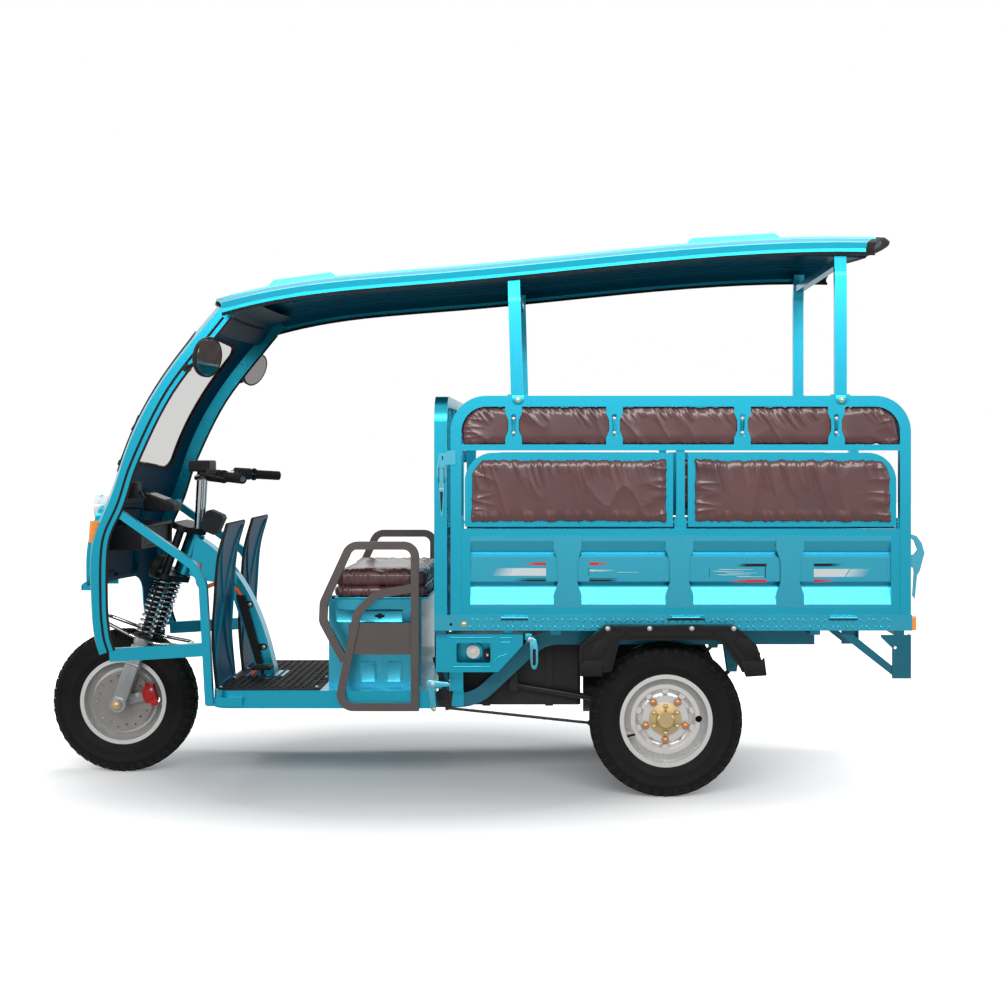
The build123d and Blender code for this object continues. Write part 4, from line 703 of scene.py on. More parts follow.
def crumple(obj, up, depth, puckers, slant):
    """Press creases in the cover: puckers that run in from the long edges, and fainter long folds."""
    obj.data.update()
    low = [min(v.co[k] for v in obj.data.vertices) for k in range(3)]
    high = [max(v.co[k] for v in obj.data.vertices) for k in range(3)]
    moves = []
    for vertex in obj.data.vertices:
        p = vertex.co
        share = (p[up] - low[up]) / (high[up] - low[up])
        lean = p.x + slant * p[up]
        reach = 0.35 + 0.5 * noise.noise(Vector((p.x * 13, 3.7, 0)))
        edge = max(0.0, (share - 1 + reach) / reach) if reach > 0.05 else 0.0
        edge = max(edge, max(0.0, 1 - 5.5 * share))
        end = max(0.0, 1 - min(p.x - low[0], high[0] - p.x) / 0.09)
        pucker = ridge(lean * 30, p[up] * 2.5, 9.3) + 0.6 * ridge(lean * 61, p[up] * 4, 5.1)
        gather = ridge(p.x * 7, p[up] * 30, 2.4) * end
        long_fold = ridge(lean * 8, p[up] * 2, 4.1) ** 2
        moves.append(vertex.normal * (depth * (puckers * edge * (pucker - 0.5) + 0.8 * gather + 0.5 * long_fold)))
    for vertex, move in zip(obj.data.vertices, moves):
        vertex.co += move
    obj.data.update()
    return smooth(obj, 180)


def padded_box(low, high, corners, radius):
    """Box with the named upper corners rounded off, seen from the side, ready to be blown up."""
    pad = cube("pad", low, high, "maroon_vinyl")

    def upper_corner(edge):
        middle, across = middle_of(edge), abs((edge.verts[0].co - edge.verts[1].co).y)
        return across > 0.008 and middle.z > high[2] - 0.01 and any(abs(middle.x - x) < 0.01 for x in corners)

    with editing(pad, "EDGE") as bm:
        pick(pad, bm, bm.edges, upper_corner)
        bpy.ops.mesh.bevel(offset=radius, segments=8, affect="EDGES")
    return pad


def bench_cushion(name):
    """Pad whose wide cover overlaps its folding frame's tubes, with its body inside the opening."""
    end = name.rsplit("_", 1)[1]
    low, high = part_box(f"bench_pad_{end}_left")
    inner, outer = (low[0] + 0.004, low[0] - 0.008) if end == "front" else (high[0] - 0.004, high[0] + 0.008)
    inside = padded_box((low[0] + 0.004, -0.4945, low[2] + 0.004), (high[0] - 0.004, high[1] - 0.004, high[2] - 0.004),
                        [inner], 0.055)
    cover = padded_box((low[0] - 0.008, -0.5035, low[2] - 0.014), (high[0] + 0.008, -0.4915, high[2] + 0.006),
                       [outer], 0.062)
    pad = joined([inside, cover], f"{name}_left")
    puff(pad, 0.005, 0.004)
    crumple(pad, 2, 0.0042, 1.3, 0.25)
    return pad


def back_cushion(name):
    """Long pad behind the straps of the side frame."""
    low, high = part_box("backrest_left")
    x0, x1 = low[0] - 0.003, high[0] + 0.003
    pad = padded_box((x0, low[1] + 0.003, low[2] - 0.004), (x1, high[1] - 0.004, high[2] + 0.004), [x0, x1], 0.085)
    joined([pad], f"{name}_left")
    rounded(pad, 0.008, 2)
    puff(pad, 0.006, 0.005)
    crumple(pad, 2, 0.0052, 1.3, 0.7)
    straps = [FRAME_X0 + share * (FRAME_X1 - FRAME_X0 - 0.003) for share in STRAP_SHARE]
    for vertex in pad.data.vertices:
        if vertex.co.y < (low[1] + high[1]) / 2:
            vertex.co.y += 0.007 * sum(math.exp(-((vertex.co.x - x) / 0.028) ** 2) for x in straps)
    return pad


def seat_cushions():
    """Two stacked driver's cushions and the sheet tray they stand on."""
    low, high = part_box("driver_seat")
    half = high[1]
    arm_y = 0.8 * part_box("seat_box")[1][1] - 0.0165
    base = high[2] - 0.096
    split = base + 0.42 * 0.096
    x0 = high[0] - 0.35
    lower = cube("seat_cushion_lower", (x0 + 0.004, -half + 0.004, base + 0.001),
                 (high[0] - 0.004, half - 0.004, split - 0.003), "maroon_vinyl")
    upper = cube("seat_cushion_upper", (x0 + 0.006, -half + 0.006, split - 0.001),
                 (high[0] - 0.006, half - 0.006, high[2] - 0.006), "maroon_vinyl")
    for pad, cap in ((lower, 0.006), (upper, 0.012)):
        with editing(pad, "EDGE") as bm:
            pick(pad, bm, bm.edges, lambda e: abs((e.verts[0].co - e.verts[1].co).z) > 0.01)
            bpy.ops.mesh.bevel(offset=0.04, segments=5, affect="EDGES")
        rounded(pad, 0.012, 2)
        puff(pad, 0.0075, cap)
        crumple(pad, 1, 0.0045, 1.0, 0.4)
    tray = [block("tray", (x0 + 0.01, -half + 0.014, base - 0.007), (high[0] - 0.002, half - 0.014, base - 0.0005),
                  "teal_paint", 0.002)]
    for side in (-1, 1):
        y, x, z = side * arm_y, low[0] + 0.004, base - 0.008
        for start, end, under, over in ((low[0], x0 + 0.03, 0.007, 0.001), (low[0], low[0] + 0.008, 0.012, 0.004)):
            corners = (start, y - 0.006, base - under), (end, y + 0.006, base - over)
            tray.append(block("arm", *corners, "teal_paint", 0.001))
        tray.append(cylinder("pin", (x, y, z), (x, y + side * 0.024, z), 0.004, "bare_steel"))
    tray = joined(tray, "seat_tray")
    return lower, upper, tray


def make_cushions():
    for name, make, node, body, fill in (
        ("bench_cushion_front", bench_cushion, "bench_pad_front", "bench_front", 0.85),
        ("bench_cushion_rear", bench_cushion, "bench_pad_rear", "bench_rear", 0.85),
        ("back_cushion", back_cushion, "backrest", "body", 0.8),
    ):
        left = make(name)
        for side, pad in (("left", left), ("right", opposite(left, f"{name}_right"))):
            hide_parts(f"{node}_{side}")
            set_on(pad, body if body == "body" else f"{body}_{side}")
    lower, upper, tray = seat_cushions()
    for pad in (lower, upper):
        set_on(pad, "driver_seat")
    set_on(tray, "driver_seat")
    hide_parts("driver_seat")


# ---------------------------------------------------------------- tyres
TYRE_PROFILE = [
    (0.153, -0.041), (0.158, -0.045), (0.172, -0.0485), (0.186, -0.0525), (0.188, -0.054), (0.192, -0.0545),
    (0.194, -0.0535), (0.210, -0.0552), (0.222, -0.0545), (0.224, -0.0555), (0.228, -0.055), (0.230, -0.0535),
    (0.243, -0.0495), (0.253, -0.043), (0.259, -0.033), (0.2615, -0.012),
]
LUG_COUNT = 44


def tread_lug(x, low_y, high_y, width, drop, inner):
    """One lug at the top of the tyre, from radius inner to the tread; its low_y end falls by drop."""
    base, top = TYRE_RADIUS + inner, 2 * TYRE_RADIUS
    lug = cube("lug", (x - width / 2, low_y, base), (x + width / 2, high_y, top), "tyre_rubber")
    shifted(lug, lambda v: v.co.y < low_y + 0.001 and v.co.z > top - 0.001, (0, 0.003 if drop else 0, -drop))
    shifted(lug, lambda v: v.co.y < low_y + 0.001 and v.co.z < base + 0.001, (0, 0, -drop))
    return rounded(lug, 0.0016, 1)


def side_bar(x, z):
    """Short rib on the tyre's side, between two shoulder lugs."""
    bar = cube("lug", (x - 0.0035, -0.0552, z + 0.232), (x + 0.0035, -0.044, z + 0.2505), "tyre_rubber")
    shifted(bar, lambda v: v.co.y < -0.05 and v.co.z > z + 0.245, (0, 0.0072, 0))
    return rounded(bar, 0.0012, 1)


def tyre(name, x, y):
    """Carcass with moulded rings, and lugs in five rows."""
    z = TYRE_RADIUS
    profile = TYRE_PROFILE + [(r, -w) for r, w in reversed(TYRE_PROFILE)]
    pieces = [smooth(spun(name, profile, x, z, "tyre_rubber", 90), 40)]
    half = math.pi / LUG_COUNT
    shoulder = tread_lug(x, -0.0545, -0.030, 0.019, 0.0155, 0.250)
    bar = side_bar(x, z)
    second = tread_lug(x, -0.025, -0.009, 0.020, 0.0, 0.255)
    centre = tread_lug(x, -0.0065, 0.0065, 0.026, 0.0, 0.255)
    for k in range(LUG_COUNT):
        for piece, shift, mirrored in ((shoulder, 0.0, True), (second, half, True), (centre, 0.0, False), (bar, half, True)):
            one = copied(piece, about_axle(x, z, 2 * half * k + shift))
            pieces += [one, copied(one, MIRRORED)] if mirrored else [one]
    for piece in (shoulder, bar, second, centre):
        bpy.data.objects.remove(piece)
    whole = joined(pieces, name)
    whole.data.transform(Matrix.Translation((0, y, 0)))
    return whole


def make_tyres():
    front = tyre("front_tyre_tread", FRONT_AXLE_X, 0.0)
    left = tyre("rear_tyre_tread_left", REAR_AXLE_X, REAR_WHEEL_Y)
    right = copied(left, Matrix.Translation((0, -2 * REAR_WHEEL_Y, 0)), "rear_tyre_tread_right")
    for piece, end in ((front, "front"), (left, "rear_left"), (right, "rear_right")):
        where, _, side = end.partition("_")
        ending = f"_{side}" if side else ""
        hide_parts(f"{where}_tyre{ending}")
        set_on(piece, f"{where}_wheel{ending}")


# ---------------------------------------------------------------- flat pieces and fasteners
def panel(name, points, push, finish):
    """Flat piece from its outline's corners, thickened by push."""
    bpy.ops.mesh.primitive_circle_add(vertices=len(points), radius=0.01)
    obj = started(name, finish)
    for vertex, point in zip(obj.data.vertices, points):
        vertex.co = point
    with editing(obj, "VERT"):
        bpy.ops.mesh.select_all(action="SELECT")
        bpy.ops.mesh.edge_face_add()
        bpy.ops.mesh.extrude_region_move(TRANSFORM_OT_translate={"value": push})
    return tidy_mesh(obj)


def side_plate(name, outline, face, thick, finish):
    """Panel on the left side from (x, z) corners, standing out by thick from the face at y."""
    return panel(name, [(x, face, z) for x, z in outline], (0, -thick, 0), finish)


def rectangle(x0, x1, z0, z1):
    return [(x0, z0), (x1, z0), (x1, z1), (x0, z1)]


def arc(x, z, radius, start, end, step):
    """Points from one angle to another, in degrees, about (x, z)."""
    turns = [math.radians(v) for v in range(start, end, step)]
    return [(x + radius * math.cos(a), z + radius * math.sin(a)) for a in turns]


def rounded_rectangle(x0, x1, z0, z1, radius, steps=4):
    points = []
    left, right, low, high = x0 + radius, x1 - radius, z0 + radius, z1 - radius
    for corner, (cx, cz) in enumerate(((right, high), (left, high), (left, low), (right, low))):
        for k in range(steps + 1):
            angle = math.radians(90 * corner + 90 * k / steps)
            points.append((cx + radius * math.cos(angle), cz + radius * math.sin(angle)))
    return points


def bolt(place, out, radius, finish, hexagonal=True):
    """Bolt head on its washer, standing out from place."""
    place, out = Vector(place), Vector(out).normalized()
    washer = pin("washer", place - out * 0.0003, place + out * 0.26 * radius, radius * 1.5, finish, 20, radius * 0.1)
    wide, sides, edge, segments = (1.0, 6, 0.16, 2) if hexagonal else (1.1, 20, 0.45, 3)
    head = cylinder("head", place + out * 0.2 * radius, place + out * (1.1 * radius), radius * wide, finish, sides)
    rounded(head, radius * edge, segments, 20)
    return smooth(joined([washer, head], "bolt"), 30)


# ---------------------------------------------------------------- bed sides
def strap_details():
    """Embossed slot and two button bolts on each strap."""
    slots, bolts = [], []
    for share in STRAP_SHARE:
        x = FRAME_X0 + share * (FRAME_X1 - FRAME_X0)
        outline = rounded_rectangle(x - 0.0095, x + 0.0095, 1.259, 1.339, 0.009)
        outer = side_plate("slot", outline, SIDE_Y + 0.0005, 0.0022, "teal_paint")
        slots.append(stepped(outer, OUT_LEFT, [(0.0028, 0)], move=(0, 0.0017, 0)))
        bolts += [bolt((x, SIDE_Y - 0.0004, z), OUT_LEFT, 0.0042, "bare_steel", False) for z in (1.273, 1.323)]
    fit_both(slots, "strap_slots", 40)
    fit_both(bolts, "strap_bolts")


def foot_tabs():
    """Rounded tabs of the canopy posts on the arch rail, each with a gold bolt."""
    tabs, bolts = [], []
    for x in (FRAME_X0 + 0.235, FRAME_X1 - 0.241):
        turns = [math.radians(-v) for v in range(0, 181, 18)]
        foot = [(x + 0.021 * math.cos(a), 1.386 + 0.016 * math.sin(a)) for a in turns]
        tab = side_plate("tab", [(x - 0.021, 1.404), (x + 0.021, 1.404)] + foot, SIDE_Y, 0.0035, "teal_paint")
        tabs.append(rounded(tab, 0.0012, 2, 50))
        bolts.append(bolt((x, SIDE_Y - 0.0035, 1.388), OUT_LEFT, 0.0055, "zinc_gold"))
    fit_both(tabs, "post_tabs", 35)
    fit_both(bolts, "post_tab_bolts")


def stripe(outline, finish):
    return side_plate("stripe", outline, BAND_Y - 0.0001, 0.0004, finish)


def fading(finish, low, high, edge, towards, reach, count):
    """Slivers that thin out from an edge, in place of a halftone fade."""
    pieces = []
    lean = 0.7 * (high - low)
    for k in range(count):
        share = (k + 0.6) / count
        x = edge + towards * reach * share
        half = 0.5 * reach / count * (1 - share) * 0.9
        pieces.append(stripe([(x - half, low), (x + half, low), (x + half + lean, high), (x - half + lean, high)], finish))
    return pieces


def band(finish, low, high, x0, x1, top0=None, top1=None, fade=None):
    """Stripe whose upper edge may end elsewhere than its lower edge, and the fade that it runs out in."""
    pieces = [stripe([(x0, low), (x1, low), (top1 or x1, high), (top0 or x0, high)], finish)]
    return pieces + fading(finish, low, high, *fade) if fade else pieces


def stripe_sets():
    """Red, silver and black stripes on the four bays of the drop side, each from front to rear."""
    red, silver, black = "decal_red", "decal_silver", "black_marks_and_shade"
    reds = (band(red, 0.8117, 0.8222, 0.2287, 0.272, 0.237, fade=(0.229, -1, 0.034, 6))
            + band(red, 0.8117, 0.8222, 0.4228, 0.4528, top1=0.4606, fade=(0.455, 1, 0.034, 6))
            + band(red, 0.7518, 0.7619, 0.9607, 1.0396, 0.969, fade=(0.961, -1, 0.055, 8))
            + band(red, 0.7527, 0.763, 1.2048, 1.231, top1=1.2382, fade=(1.232, 1, 0.044, 7)))
    silvers = band(silver, 0.775, 0.8017, 0.139, 0.272, 0.158, fade=(0.139, -1, 0.06, 9))
    silvers += band(silver, 0.7905, 0.7962, 0.4235, 0.444, top1=0.449)
    silvers.append(stripe([(0.52, 0.7865), (0.594, 0.7868), (0.594, 0.7875), (0.52, 0.7883)], silver))
    silvers += fading(silver, 0.7905, 0.7962, 0.446, 1, 0.07, 9)
    for k, (x0, x1) in enumerate(((0.868, 0.99), (0.85, 0.96), (0.89, 1.01), (0.86, 0.985), (0.93, 1.03))):
        z = 0.797 - 0.0062 * k
        silvers.append(stripe([(x0 + 0.02, z - 0.0012), (x1, z - 0.0004), (x1, z + 0.0004), (x0, z + 0.0012)], silver))
    silvers += band(silver, 0.7712, 0.7989, 1.2048, 1.312, top1=1.3297, fade=(1.314, 1, 0.072, 10))
    blacks = (band(black, 0.7557, 0.7668, 0.1955, 0.272, 0.2039, fade=(0.195, -1, 0.036, 6))
              + band(black, 0.775, 0.8022, 0.4205, 0.4225)
              + band(black, 0.7557, 0.7668, 0.4228, 0.4955, top1=0.5034, fade=(0.496, 1, 0.026, 5))
              + band(black, 0.8072, 0.8172, 0.9624, 1.0396, 0.969)
              + band(black, 0.767, 0.8072, 1.0345, 1.0375)
              + fading(black, 0.8072, 0.8172, 0.962, -1, 0.03, 6)
              + band(black, 0.769, 0.8, 0.8405, 0.842)
              + band(black, 0.8077, 0.8177, 1.2048, 1.266, top1=1.273, fade=(1.267, 1, 0.03, 6)))
    for pieces, name, slot in ((reds, "red", "red"), (blacks, "black", "blackpaint"), (silvers, "silver", "silver")):
        fit_both(pieces, f"stripes_{name}")


def band_beads():
    """Thin pressed frame line in each bay of the drop side."""
    beads = []
    low, high = PANEL[0][0], PANEL[1][0]
    edges = [low] + [low + share * (high - low) for share in BAY_SHARE] + [high]
    for k in range(4):
        x0 = edges[k] + (0.008 if k == 0 else 0.040)
        x1 = edges[k + 1] - (0.008 if k == 3 else 0.040)
        outline = rounded_rectangle(x0, x1, 0.7625, 0.8335, 0.004, 2)
        bead = side_plate("bead", outline, BAND_Y + 0.0004, 0.0014, "teal_sheet")
        with editing(bead) as bm:
            pick(bead, bm, bm.faces, lambda f: abs(f.normal.y) > 0.9)
            bpy.ops.mesh.inset(thickness=0.0022, depth=0)
            bpy.ops.mesh.delete(type="FACE")
        with editing(bead, "EDGE"):
            bpy.ops.mesh.select_non_manifold()
            bpy.ops.mesh.bridge_edge_loops()
        beads.append(tidy_mesh(bead))
    fit_both(beads, "bay_beads", 35)


TREAD_PITCH = 0.0246
TREAD_LENGTH = 0.023


def tread_bar(x, y, z, turn):
    """Lens-shaped bar of the tread plate, lying on the left skirt."""
    points = []
    for k in range(8):
        a = math.radians(45 * k)
        u, w = 0.5 * TREAD_LENGTH * math.cos(a), 0.0036 * math.sin(a)
        points.append((x + u * math.cos(turn) - w * math.sin(turn), y, z + u * math.sin(turn) + w * math.cos(turn)))
    bar = panel("bar", points, (0, -0.0017, 0), "teal_paint")
    with editing(bar) as bm:
        pick(bar, bm, bm.faces, lambda f: f.normal.y < -0.9)
        bpy.ops.transform.resize(value=(0.6, 1, 0.6), center_override=(x, y, z))
    return bar


def tread_cell(x, y, heights, name):
    """Four bars that lean against each other in turn."""
    return joined([
        tread_bar(x + TREAD_PITCH * i, y, z, math.radians(45 if (i + j) % 2 else -45))
        for i in range(2) for j, z in enumerate(heights)], name)


def row_of(obj, count, step):
    return modify(obj, "ARRAY", count=count, use_relative_offset=False, use_constant_offset=True,
                  constant_offset_displace=step)


def tread_plate():
    """Raised tread on the bed's skirts and on its floor."""
    pair = 2 * TREAD_PITCH
    skirt = row_of(tread_cell(0.012, SIDE_Y, (0.596, 0.6205), "skirt"), 31, (pair, 0, 0))
    with editing(skirt, "VERT") as bm:
        pick(skirt, bm, bm.verts, lambda v: v.co.x > 1.478)
        bpy.ops.mesh.delete(type="VERT")
    fit_both([skirt], "skirt_tread", 40)
    floor = tread_cell(-0.085, 0, (-0.44, -0.44 + TREAD_PITCH), "floor")
    floor.data.transform(Matrix.Rotation(math.radians(-90), 4, "X"))
    row_of(row_of(floor, 33, (pair, 0, 0)), 18, (0, pair, 0))
    low = min(v.co.z for v in floor.data.vertices)
    floor.data.transform(Matrix.Translation((0, 0, BED_TOP - low - 0.0001)))
    fit([floor], "floor_tread", angle=40)


# ---------------------------------------------------------------- bed skirt, mudguards and boxes
def skirt_fittings():
    """Hinge pins under the drop side, the corner bolt and a black disc as painted shade in its empty hole, and the
    mudguard bolts.
    """
    pins, leaves = [], []
    for x0, x1 in ((0.115, 0.209), (0.693, 0.825), (1.256, 1.353)):
        pins.append(pin("pin", (x0, -0.5035, 0.6245), (x1, -0.5035, 0.6245), 0.0034, "black_paint", 12, 0.001))
        for a, b in ((x0 + 0.010, x0 + 0.056), (x1 - 0.034, x1 - 0.004)):
            leaf = side_plate("leaf", rectangle(a, b, 0.6275, 0.6395), SIDE_Y - 0.0002, 0.0045, "teal_paint")
            leaves.append(rounded(leaf, 0.0012, 2, 40))
    fit_both(pins, "side_hinge_pins")
    fit_both(leaves, "side_hinge_leaves")
    fit_both([bolt((-0.0134, SIDE_Y, 0.6079), OUT_LEFT, 0.0066, "zinc_gold")], "corner_bolt")
    # Black disc: painted shade in the empty hole.
    hole = pin("hole", (-0.0585, SIDE_Y + 0.0005, 0.607), (-0.0585, SIDE_Y - 0.0006, 0.607), 0.0055,
               "black_marks_and_shade", 20, 0.0004)
    fit_both([hole], "corner_hole_shade")
    heads = [bolt((x, -0.5563, 0.5986), OUT_LEFT, 0.0058, "bare_steel", False) for x in (0.485, 0.6292, 0.7742, 0.9187)]
    fit_both(heads, "mudguard_bolts")


def bead(points, y, width, finish):
    """Pressed bead that follows (x, z) points on a left-hand face."""
    pieces = []
    for (x0, z0), (x1, z1) in zip(points, points[1:]):
        pieces.append(cylinder("bead", (x0, y, z0), (x1, y, z1), width / 2, finish, 12))
    for x, z in points:
        bpy.ops.mesh.primitive_uv_sphere_add(segments=12, ring_count=8, radius=width / 2, location=(x, y, z))
        pieces.append(started("bead", finish))
    whole = joined(pieces, "bead")
    flatter = Matrix.Translation((0, y, 0)) @ Matrix.Scale(0.55, 4, (0, 1, 0)) @ Matrix.Translation((0, -y, 0))
    whole.data.transform(flatter)
    return smooth(whole, 60)


def electrics_details():
    """Pressed beads on the box's face, and the socket and breaker behind its window."""
    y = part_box("electrics_box")[0][1] + 0.0028
    routes = (
        ((-0.062, 0.5575), (0.088, 0.5575)),
        ((0.112, 0.557), (0.150, 0.557), (0.150, 0.541), (0.112, 0.541), (0.112, 0.557)),
        ((-0.052, 0.4555), (0.072, 0.4555), (0.104, 0.489), (0.134, 0.5)),
    )
    fit([bead(route, y, 0.006, "teal_paint") for route in routes], "electrics_beads")
    plug = cylinder("plug", (0.016, -0.4385, 0.505), (0.016, -0.4475, 0.505), 0.0235, "socket_white", 28)
    stepped(plug, OUT_LEFT, [(0.006, 0), (0.0005, -0.006), (0.006, 0)], push=(0, -0.004, 0))
    fit([rounded(plug, 0.0008, 1)], "socket_ring", angle=30)
    case = cube("case", (0.052, -0.4475, 0.4775), (0.080, -0.4200, 0.5085), "black_plastic")
    rounded(stepped(case, OUT_LEFT, [(0.006, 0)], push=(0, -0.004, 0)), 0.001, 2)
    mount = block("mount", (0.058, -0.4205, 0.484), (0.074, -0.3895, 0.502), "black_plastic", 0.001, 1)
    fit([case, mount], "breaker")
    knob = block("knob", (0.0625, -0.4545, 0.4905), (0.0695, -0.4512, 0.4985), "socket_white", 0.0008, 1)
    fit([knob], "breaker_lever")


def link_details():
    """Tailboard link hung on the frame's rail, the stay's bracket bolt and the floor's side catch."""
    link = side_plate("link", (
        (0.214, 0.556), (0.226, 0.560), (0.238, 0.552), (0.2445, 0.520), (0.2445, 0.470), (0.2385, 0.451),
        (0.230, 0.447), (0.2215, 0.453), (0.2175, 0.475), (0.2165, 0.515)), -0.4785, 0.006, "latch_teal")
    # Black plate in the link's slot: painted shade in the opening.
    slot = side_plate("slot", rounded_rectangle(0.2255, 0.2365, 0.462, 0.520, 0.005), -0.4840, 0.0011, "black_marks_and_shade")
    hinge = pin("hinge", (0.216, -0.470, 0.553), (0.216, -0.489, 0.553), 0.0075, "bare_steel", 20, 0.0012, 2)
    strap = side_plate("strap", (
        (0.200, 0.572), (0.222, 0.572), (0.2245, 0.550), (0.208, 0.540), (0.199, 0.552)), -0.4735, 0.0045, "teal_paint")
    pieces = [rounded(link, 0.0015, 2, 40), rounded(strap, 0.0012, 2, 40), hinge, rounded(slot, 0.0003, 1, 60)]
    fit_both(pieces, "frame_link", 40)
    catch = side_plate("catch", (
        (-0.146, 0.404), (-0.137, 0.410), (-0.070, 0.402), (-0.062, 0.396), (-0.064, 0.388), (-0.118, 0.385),
        (-0.111, 0.318), (-0.113, 0.303), (-0.122, 0.300), (-0.129, 0.308), (-0.141, 0.378)), -0.4765, 0.005, "latch_teal")
    mount = block("mount", (-0.130, -0.4770, 0.380), (-0.092, -0.4050, 0.400), "teal_paint", 0.002)
    fit_both([rounded(catch, 0.0014, 2, 40), mount], "side_catch", 40)
    heads = [bolt((-0.124, -0.4815, 0.396), OUT_LEFT, 0.0058, "bare_steel"),
             bolt((-0.118, -0.4815, 0.309), OUT_LEFT, 0.0045, "zinc_gold")]
    fit_both(heads, "side_catch_bolts")


def latch_details():
    """Keyhole, collar and open loop of the front latch on the corner post; black plates in the keyhole and openings are
    painted shade.
    """
    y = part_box("bed_latches")[0][1] - 0.0002
    # Black plates in the keyhole and the other openings: painted shade.
    openings = [side_plate("opening", outline, y, 0.0005, "black_marks_and_shade") for outline in (
        arc(-0.0874, 1.188, 0.0034, 0, 360, 30),
        ((-0.0890, 1.186), (-0.0858, 1.186), (-0.0858, 1.177), (-0.0890, 1.177)),
        ((-0.0962, 1.068), (-0.0858, 1.068), (-0.0885, 1.006), (-0.0908, 0.998), (-0.0930, 1.006)),
        rectangle(-0.1015, -0.0985, 1.098, 1.152),
        rectangle(-0.0835, -0.0805, 1.098, 1.152),
    )]
    fit_both(openings, "latch_opening_shade")
    collar = block("collar", (-0.0995, y - 0.0035, 1.075), (-0.0825, y + 0.001, 1.081), "bare_steel", 0.001, 1)
    nose = block("nose", (-0.0975, y - 0.005, 1.150), (-0.0780, y + 0.001, 1.168), "latch_teal", 0.0022)
    fit_both([collar, nose], "latch_collar")


# outline in (x, z), how far the back lies inside the mudguard's face, and thickness
MUDGUARD_STEPS = (
    (((0.4146, 0.5015), (0.4434, 0.5574), (0.4757, 0.5675), (0.4972, 0.5541), (0.4650, 0.4974), (0.4180, 0.4932)),
     0.0005, 0.0030),
    (((0.3870, 0.4787), (0.4083, 0.4885), (0.4697, 0.4905), (0.4653, 0.4350), (0.3907, 0.4350)), -0.0120, 0.0150),
    (((0.9205, 0.5541), (0.9395, 0.5680), (0.9736, 0.5619), (1.0094, 0.5139), (1.0067, 0.4957), (0.9658, 0.4939)),
     0.0005, 0.0030),
    (((0.9395, 0.4895), (1.0121, 0.4869), (1.0235, 0.4997), (1.0315, 0.4375), (0.9597, 0.4330)), -0.0120, 0.0150),
)


def mudguard_panels():
    """Stepped panels and flaps moulded on each mudguard."""
    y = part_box("mudguards")[0][1]
    panels = [side_plate("panel", outline, y - inset, rise, "trim_rubber") for outline, inset, rise in MUDGUARD_STEPS]
    fit_both([rounded(piece, 0.0022, 2, 35) for piece in panels], "mudguard_panels", 40)


def bolt_ring(count, start, circle, y, radius, finish):
    """Bolts round the rear axle, from a start angle in degrees."""
    bolts = []
    for k in range(count):
        a = math.radians(start + 360 / count * k)
        place = (REAR_AXLE_X + circle * math.cos(a), y, TYRE_RADIUS + circle * math.sin(a))
        bolts.append(bolt(place, OUT_LEFT, radius, finish))
    return bolts


def wheel_fittings():
    """Copper wheel nuts on washers, the hub's cap screws and the valve stem of each rear wheel."""
    stem = [
        cylinder("stem", (0.5560, -0.4520, 0.2085), (0.5780, -0.4770, 0.2190), 0.0036, "trim_rubber", 14),
        cylinder("stem", (0.5765, -0.4752, 0.2182), (0.5805, -0.4800, 0.2202), 0.0044, "black_plastic", 14),
    ]
    fit_both(bolt_ring(5, -90, 0.073, -0.4475, 0.0088, "copper_nut"), "wheel_nuts", body="rear_wheel_left")
    fit_both(bolt_ring(6, 30, 0.0475, -0.4555, 0.0058, "zinc_gold"), "hub_screws", body="rear_wheel_left")
    fit_both(stem, "valve_stem", 40, "rear_wheel_left")


# ---------------------------------------------------------------- front fork and wheel fittings
def fork_fittings():
    """Gold axle nuts, spring seats with their collars, and the ribbed slider blocks."""
    seats, blocks = [], []
    along = Vector((math.sin(FORK_RAKE), 0, math.cos(FORK_RAKE)))
    for side, end in ((-1, "left"), (1, "right")):
        nut = bolt((FRONT_AXLE_X, side * 0.136, TYRE_RADIUS), (0, side, 0), 0.0105, "zinc_gold")
        fit([nut], f"axle_nut_{end}", "steering")
        foot = Vector((FRONT_AXLE_X, side * FORK_HALF, TYRE_RADIUS))
        seats.append(pin("seat", foot + along * 0.262, foot + along * 0.2712, 0.0345, "black_paint", 32, 0.002, 2))
        seats.append(pin("collar", foot + along * 0.236, foot + along * 0.262, 0.0285, "slider_grey", 32, 0.003, 2))
        turn = Matrix.Translation(foot) @ Matrix.Rotation(FORK_RAKE, 4, "Y")
        for half_x, half_y, low, high in (
            (0.0265, 0.0245, 0.012, 0.232), (0.0285, 0.0265, 0.150, 0.164), (0.021, 0.0265, -0.026, 0.03),
        ):
            one = block("block", (-half_x, -half_y, low), (half_x, half_y, high), "slider_grey", 0.006, 3)
            one.data.transform(turn)
            blocks.append(one)
    fit(seats, "spring_seats", "steering", 35)
    fit(blocks, "slider_blocks", "steering", 40)


def caliper_fittings():
    """Bleed cap, clamp screws and banjo end on the red caliper."""
    turn = Matrix.Rotation(math.radians(-15), 4, "Y")

    def at(x, y, z):
        return Vector((FRONT_AXLE_X, 0, TYRE_RADIUS)) + turn @ Vector((x, y, z))

    piston = pin("piston", at(0.110, -0.0665, 0.003), at(0.110, -0.0755, 0.003), 0.022, "caliper_red", 28, 0.003, 2)
    cap = pin("cap", at(0.104, -0.052, 0.033), at(0.104, -0.052, 0.047), 0.0065, "caliper_red", 16, 0.002, 2)
    ear = block("ear", (0, 0, 0), (0.026, 0.016, 0.022), "caliper_red", 0.003)
    ear.data.transform(Matrix.Translation(at(0.104, -0.069, -0.046)) @ turn)
    fit([piston, cap, ear], "caliper_body", "steering", 40)
    heads = [bolt(at(x, -0.0741, z), OUT_LEFT, 0.0055, "bare_steel") for x, z in ((0.034, 0.010), (0.066, 0.011))]
    banjo = pin("banjo", at(0.122, -0.0668, 0.018), at(0.122, -0.078, 0.018), 0.006, "bare_steel", 20, 0.001)
    fit(heads + [banjo], "caliper_bolts", "steering")


